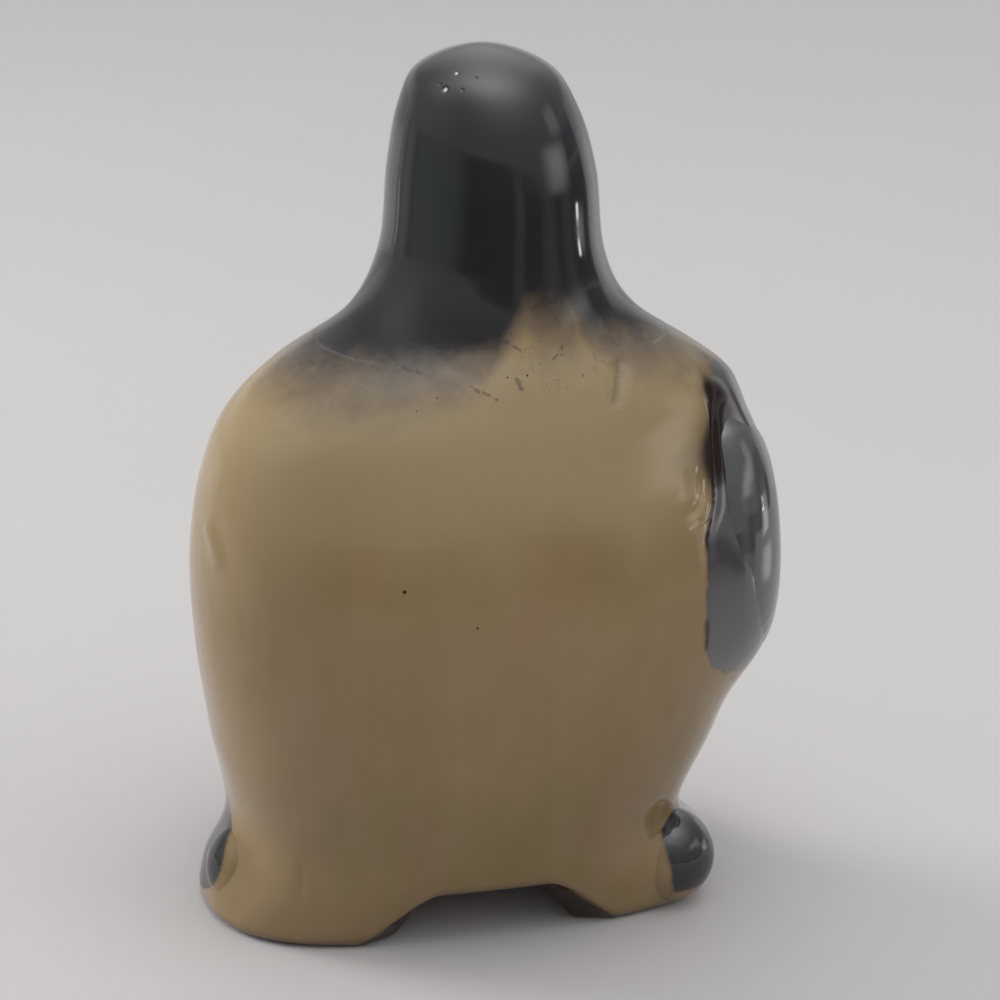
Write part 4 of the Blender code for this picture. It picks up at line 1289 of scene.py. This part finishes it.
def bright_card(name, azimuth, distance, height, size, radiance, soft):
    """An upright card that faces the figurine: soft is the faded share of its half size."""
    middle = distance * outward(azimuth, 0.0)
    middle.z = height
    across = Vector(UP).cross(middle).normalized() * (0.5 * size[0])
    tall = Vector(UP) * (0.5 * size[1])
    corners = [middle - across - tall, middle + across - tall, middle + across + tall, middle - across + tall]
    material, tree = new_material(name)
    place = add(tree, "TexCoord").outputs["Object"]
    off = add(tree, "VectorMath", {0: place, 1: tuple(middle)}, operation="SUBTRACT")
    inside = 1.0
    for way in (across, tall):
        links = {0: off, 1: tuple(way / way.length_squared)}
        along = add(tree, "VectorMath", links, operation="DOT_PRODUCT")
        along = add(tree, "Math", {0: along}, operation="ABSOLUTE")
        fade = add(tree, "MapRange", {0: along, 1: 1.0, 2: 1.0 - soft}, **SMOOTH)
        inside = add(tree, "Math", {0: fade, 1: inside}, operation="MULTIPLY")
    light = add(tree, "Emission", {"Color": grey(1.0, WARMISH), "Strength": radiance})
    mixed = add(tree, "MixShader", {0: inside, 1: add(tree, "BsdfTransparent"), 2: light})
    add(tree, "OutputMaterial", {"Surface": mixed})
    stage_in_gloss(mesh_object(name, np.array(corners), [(0, 1, 2, 3)]), material)


BEHIND = (344.0, 58.0, 14.0, grey(0.60))
CURTAIN = (274.0, 13.0, 3.0, grey(0.20, PURPLISH))
WINDOW = (256.0, 9.0, 4.0, grey(0.85))

# Elevations in degrees over which the low panes give way to the window, and the window to the plain room.
WINDOW_SILL = (7.0, 16.0)
WINDOW_HEAD = (22.0, 31.0)

# Soft lights of the room: azimuth, elevation, spread in degrees, tone.
GLOWS = [
    (190.0, 80.0, 34.0, grey(2.1, (0.97, 1.0, 1.03))),
    (340.0, 44.0, 24.0, grey(1.0, (0.99, 1.0, 1.01))),
    (84.0, 36.0, 22.0, grey(0.50, (1.0, 1.0, 0.99))),
]


def soft_glow(tree, way, azimuth, elevation, spread, tone):
    """Light that falls off round one direction as a bell curve."""
    near = add(tree, "VectorMath", {0: way, 1: tuple(outward(azimuth, elevation))}, operation="DOT_PRODUCT")
    off = add(tree, "Math", {0: near}, operation="ARCCOSINE")
    off = add(tree, "Math", {0: off, 1: math.radians(spread)}, operation="DIVIDE")
    off = add(tree, "Math", {0: off, 1: off}, operation="MULTIPLY")
    off = add(tree, "Math", {0: off, 1: -1.0}, operation="MULTIPLY")
    strength = add(tree, "Math", {0: off}, operation="EXPONENT")
    return add(tree, "VectorMath", {0: tone[:3], "Scale": strength}, operation="SCALE")


def room():
    """A plain room with a broad soft light overhead, and a pale backdrop that only the camera sees."""
    world = bpy.data.worlds.new("room")
    bpy.context.scene.world = world
    world.use_nodes = True
    tree = world.node_tree
    tree.nodes.clear()
    way = add(tree, "TexCoord").outputs["Generated"]
    rise = add(tree, "SeparateXYZ", {"Vector": way}).outputs["Z"]
    tone = glow_by_azimuth(tree, way, [BEHIND, CURTAIN], ROOM_LEVEL)
    window = glow_by_azimuth(tree, way, [WINDOW], ROOM_LEVEL)
    for (low, high), above in ((WINDOW_SILL, window), (WINDOW_HEAD, ROOM_LEVEL)):
        low, high = math.sin(math.radians(low)), math.sin(math.radians(high))
        over = add(tree, "MapRange", {0: rise, 1: low, 2: high}, **SMOOTH)
        tone = add(tree, "Mix", {0: over, 6: tone, 7: above}, **COLOURS)
    for glow in GLOWS:
        tone = add(tree, "VectorMath", {0: tone, 1: soft_glow(tree, way, *glow)}, operation="ADD")
    camera = add(tree, "LightPath").outputs["Is Camera Ray"]
    seen = add(tree, "Mix", {0: camera, 6: tone, 7: hex_colour(BACKDROP)}, **COLOURS)
    background = add(tree, "Background", {"Color": seen, "Strength": 1.0})
    add(tree, "OutputWorld", {"Surface": background})


CAMERA_AZIMUTH = 163.98
CAMERA_ELEVATION = 19.0
CAMERA_ROLL = 0.85
CAMERA_DISTANCE = 0.55
CAMERA_FOCAL_PIXELS = 3782.86
CAMERA_TARGET = np.array([0.0, 6.0, 65.0]) * MM
TARGET_PIXEL = (474.43, 476.52)
PICTURE = 1000


def make_camera():
    data = bpy.data.cameras.new("camera")
    camera = bpy.data.objects.new("camera", data)
    bpy.context.scene.collection.objects.link(camera)
    out = outward(CAMERA_AZIMUTH, CAMERA_ELEVATION)
    camera.location = Vector(CAMERA_TARGET + SHIFT) + CAMERA_DISTANCE * out
    turn = out.to_track_quat("Z", "Y").to_matrix()
    roll = Matrix.Rotation(math.radians(CAMERA_ROLL), 3, "Z")
    camera.rotation_euler = (turn @ roll).to_euler()
    data.sensor_width = 36.0
    data.lens = CAMERA_FOCAL_PIXELS / PICTURE * data.sensor_width
    data.shift_x = 0.5 - TARGET_PIXEL[0] / PICTURE
    data.shift_y = TARGET_PIXEL[1] / PICTURE - 0.5
    data.clip_start = 0.01
    data.clip_end = 20.0
    bpy.context.scene.camera = camera


# Round soft lamps aimed at the figurine: name, azimuth, elevation, distance, size, power and spread.
# The spread is narrow where the lamp would light the floor beneath it.
LAMPS = [
    ("fill_behind", 164.0, 20.0, 1.5, 1.2, 3.0, 180.0),
    ("fill_left", 50.0, 14.0, 1.3, 0.7, 2.7, 60.0),
    ("fill_right", 232.0, 28.0, 1.3, 1.0, 3.4, 180.0),
]


def soft_lamp(name, azimuth, elevation, distance, size, power, spread):
    data = bpy.data.lights.new(name, "AREA")
    data.spread = math.radians(spread)
    data.shape = "DISK"
    data.size = size
    data.energy = power
    lamp = bpy.data.objects.new(name, data)
    bpy.context.scene.collection.objects.link(lamp)
    out = outward(azimuth, elevation)
    lamp.location = distance * out
    lamp.rotation_euler = out.to_track_quat("Z", "Y").to_euler()
    lamp.visible_camera = False
    lamp.visible_glossy = False


# The open crease between shoulder and raised foreleg.
CREASE_LOW = 54.0 * MM
CREASE_FULL = 70.0 * MM
CREASE_HIGH = 77.0 * MM
CREASE_TOP = 86.0 * MM
CREASE_MIDDLE = 73.0 * MM
CREASE_BULGE = 4.6 * MM
CREASE_DEPTH = 0.7 * MM

# Dashes of pooled glaze, the upper one also painted shade in the nape's groove: both ends as height and
# bearing, half width and strength, in mm and degrees.
POOL_AND_SHADE_DASHES = [
    (49.2, 128.6, 45.2, 129.4, 0.45, 0.80),
    (86.8, 123.6, 82.8, 115.6, 0.70, 0.30),
]


def crease_share(points):
    """1 along the open crease between shoulder and raised foreleg, 0 where the join is worked flush."""
    height, bearing = points[:, 2], bearings_of(points)
    tall = smoothstep(CREASE_LOW, CREASE_FULL, height) * (1 - smoothstep(CREASE_HIGH, CREASE_TOP, height))
    return tall * smoothstep(115.0, 125.0, bearing) * (1 - smoothstep(149.0, 157.0, bearing))


def crease_pool_and_shade(points, flank):
    """Brown-black beside the crease, partly pooled glaze and partly painted shade, widest at its middle, in
    its groove, and in short dashes.
    """
    width = 0.1 + 0.9 * np.exp(-(((points[:, 2] - CREASE_MIDDLE) / CREASE_BULGE) ** 2))
    away = -flank / width
    beside = 0.60 * (1 - smoothstep(1.8, 5.2, away)) + 0.38 * (1 - smoothstep(3.5, 11.0, away))
    within = smoothstep(67.0 * MM, 70.5 * MM, points[:, 2]) * (1 - smoothstep(1.6, 3.2, flank))
    pool_and_shade = beside * smoothstep(0.15, 0.5, crease_share(points)) * np.where(flank > 0, within, 1.0)
    for *ends, half, strength in POOL_AND_SHADE_DASHES:
        near = segment_distance(points, *skin_line(*ends)) / (half * MM)
        pool_and_shade = np.maximum(pool_and_shade, strength * np.exp(-(near**2)))
    return pool_and_shade


FINE = 0.35 * MM


def modelled_pieces():
    """Each small piece with the reach and the rise of the slip round it, in mm."""
    pieces = {
        "foreleg_right": (clay("foreleg_right_limb", [skin_limb(RAISED_FORELEG)], FINE, 4), 6.5, 2.2),
        "foreleg_left": (clay("foreleg_left_limb", [skin_limb(STRAIGHT_FORELEG)]), 4.0, 1.8),
        "forepaw_left": (clay("forepaw_left_paw", front_paw(), FINE, 4), 0.8, 0.3),
        "forepaw_right": (clay("forepaw_right_paw", raised_paw(), FINE, 4), 0.8, 0.3),
        "thigh_left": (clay("thigh_left_bulge", thigh(1)), 6.0, 1.6),
        "thigh_right": (clay("thigh_right_bulge", thigh(-1)), 6.0, 1.6),
        "hind_foot_left": (clay("hind_foot_left_paw", hind_foot(1), FINE, 4), 3.0, 1.4),
        "hind_foot_right": (clay("hind_foot_right_paw", hind_foot(-1), FINE, 4), 2.2, 1.0),
        "tail": (clay("tail_curl", tail()), 1.2, 0.5),
        "muzzle": (clay("muzzle_face", muzzle(), 0.3 * MM), 2.6, 1.4),
        "nose": (clay("nose_tip", nose(), 0.2 * MM), 0.6, 0.2),
    }
    for side, word in ((1, "left"), (-1, "right")):
        pieces[f"eye_{word}"] = (eye(side), 1.4, 0.9)
        shapes, front = ear(side)
        ear_piece = clay(f"ear_{word}_shell", shapes, 0.25 * MM)
        press_line(ear_piece, front[2:18], 2.0 * MM, 1.5 * MM)
        pieces[f"ear_{word}"] = (ear_piece, 2.4, 1.2)
    for name in ("tail", "hind_foot_left", "hind_foot_right", "forepaw_left", "foreleg_left"):
        stand(pieces[name][0])
    return pieces


# How far the dark glaze runs from a luted piece over the skin, in mm.
GLAZE_SPREAD = {"hind_foot_left": 3.4, "hind_foot_right": 0.8}
LEAST_SPREAD = 0.3
DARK_PIECES = ("foreleg_right", "foreleg_left", "hind_foot_left", "hind_foot_right", "tail", "forepaw_left")
SLIP_LIMIT = 7.0 * MM


def work_skin(skin_piece, pieces, surfaces):
    """Works the luted pieces into a skin, and stores where its dark glaze, its pooled glaze with painted
    crease shade, and its tool marks are.
    """
    points = coordinates(skin_piece)
    bearings = bearings_of(points)
    dark, blur = above_dark_edge(points)
    flank = inside_flank_dark(points)
    flank *= 1 - 0.7 * smoothstep(76 * MM, 82 * MM, points[:, 2])
    crease = crease_share(points)
    drawn = flank.copy()
    rise = np.zeros(len(points))
    for name, (_, reach, lift) in pieces.items():
        far = distance_to(points, surfaces[name], SLIP_LIMIT)
        slip = slip_rise(far, reach * MM, lift * MM)
        if name == "foreleg_right":
            slip *= 1 - crease
        rise += slip
        if name in DARK_PIECES:
            spread = GLAZE_SPREAD.get(name, LEAST_SPREAD)
            drawn = np.maximum(drawn, np.minimum(spread - far / MM, inside_foot_dark(points, name)))
    paint(skin_piece, "dark", dark)
    paint(skin_piece, "blur", blur)
    paint(skin_piece, "drawn", drawn)
    paint(skin_piece, "pool_and_shade", crease_pool_and_shade(points, flank))
    paint(skin_piece, "luting", luting_zone(points, np.radians(bearings)))
    paint(skin_piece, "foot", (points[:, 2] - np.interp(bearings, *edge_by_bearing())) / MM)
    groove = crease * np.exp(-(flank**2))
    push_out(skin_piece, rise - CREASE_DEPTH * groove)
    stand(skin_piece)


FAR_INSIDE = 9.0
FAR_OUTSIDE = -30.0
THIGH_STAYS_CREAM = 18.0


def paint_piece(obj, name):
    """Stores where a small piece has dark glaze: all over, but not over a heel, and not on a thigh."""
    points = coordinates(obj)
    on_floor = name in DARK_PIECES and name != "foreleg_right"
    drawn = inside_foot_dark(points, name) if on_floor else np.full(len(points), FAR_INSIDE)
    if name.startswith("thigh"):
        drawn -= THIGH_STAYS_CREAM
    paint(obj, "drawn", drawn)
    paint(obj, "dark", np.full(len(points), FAR_OUTSIDE))
    paint(obj, "blur", np.ones(len(points)))
    paint(obj, "foot", points[:, 2] / MM + 1.0)


def dress():
    glaze = fired_glaze()
    clay_finish = bare_clay()
    body, head = body_skin(), head_skin()
    pieces = modelled_pieces()
    surfaces = {name: surface_of(obj) for name, (obj, _, _) in pieces.items()}
    for skin_piece in (body, head):
        work_skin(skin_piece, pieces, surfaces)
        skin_piece.data.materials.append(glaze)
    body.data.materials.append(clay_finish)

    bead, stain = bead_glaze(), nose_glaze()
    finish = {"eye_left": bead, "eye_right": bead, "nose": stain}
    for name, (obj, _, _) in pieces.items():
        obj.data.materials.append(finish.get(name, glaze))
        paint_piece(obj, name)
    named = {name: obj for name, (obj, _, _) in pieces.items()} | {"body_shell": body, "head_shell": head}
    for name, obj in named.items():
        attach(obj, "root")
        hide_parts(name)
    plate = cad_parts["base_plate"]
    plate.data.materials.clear()
    plate.data.materials.append(clay_finish)


def edge_by_bearing():
    """Bearing and height of the foot's edge, sorted for reading off between them."""
    foot = skin(np.full(SIDES, level(FOOT_SPREAD)), TURN)
    bearing = bearings_of(foot)
    order = np.argsort(bearing)
    return bearing[order], EDGE[order]


dress()
floor()
room()
make_camera()
for flag in FLAGS:
    dark_flag(*flag)
for card in CARDS:
    bright_card(*card)
for lamp in LAMPS:
    soft_lamp(*lamp)
bpy.context.scene.view_settings.view_transform = "Standard"
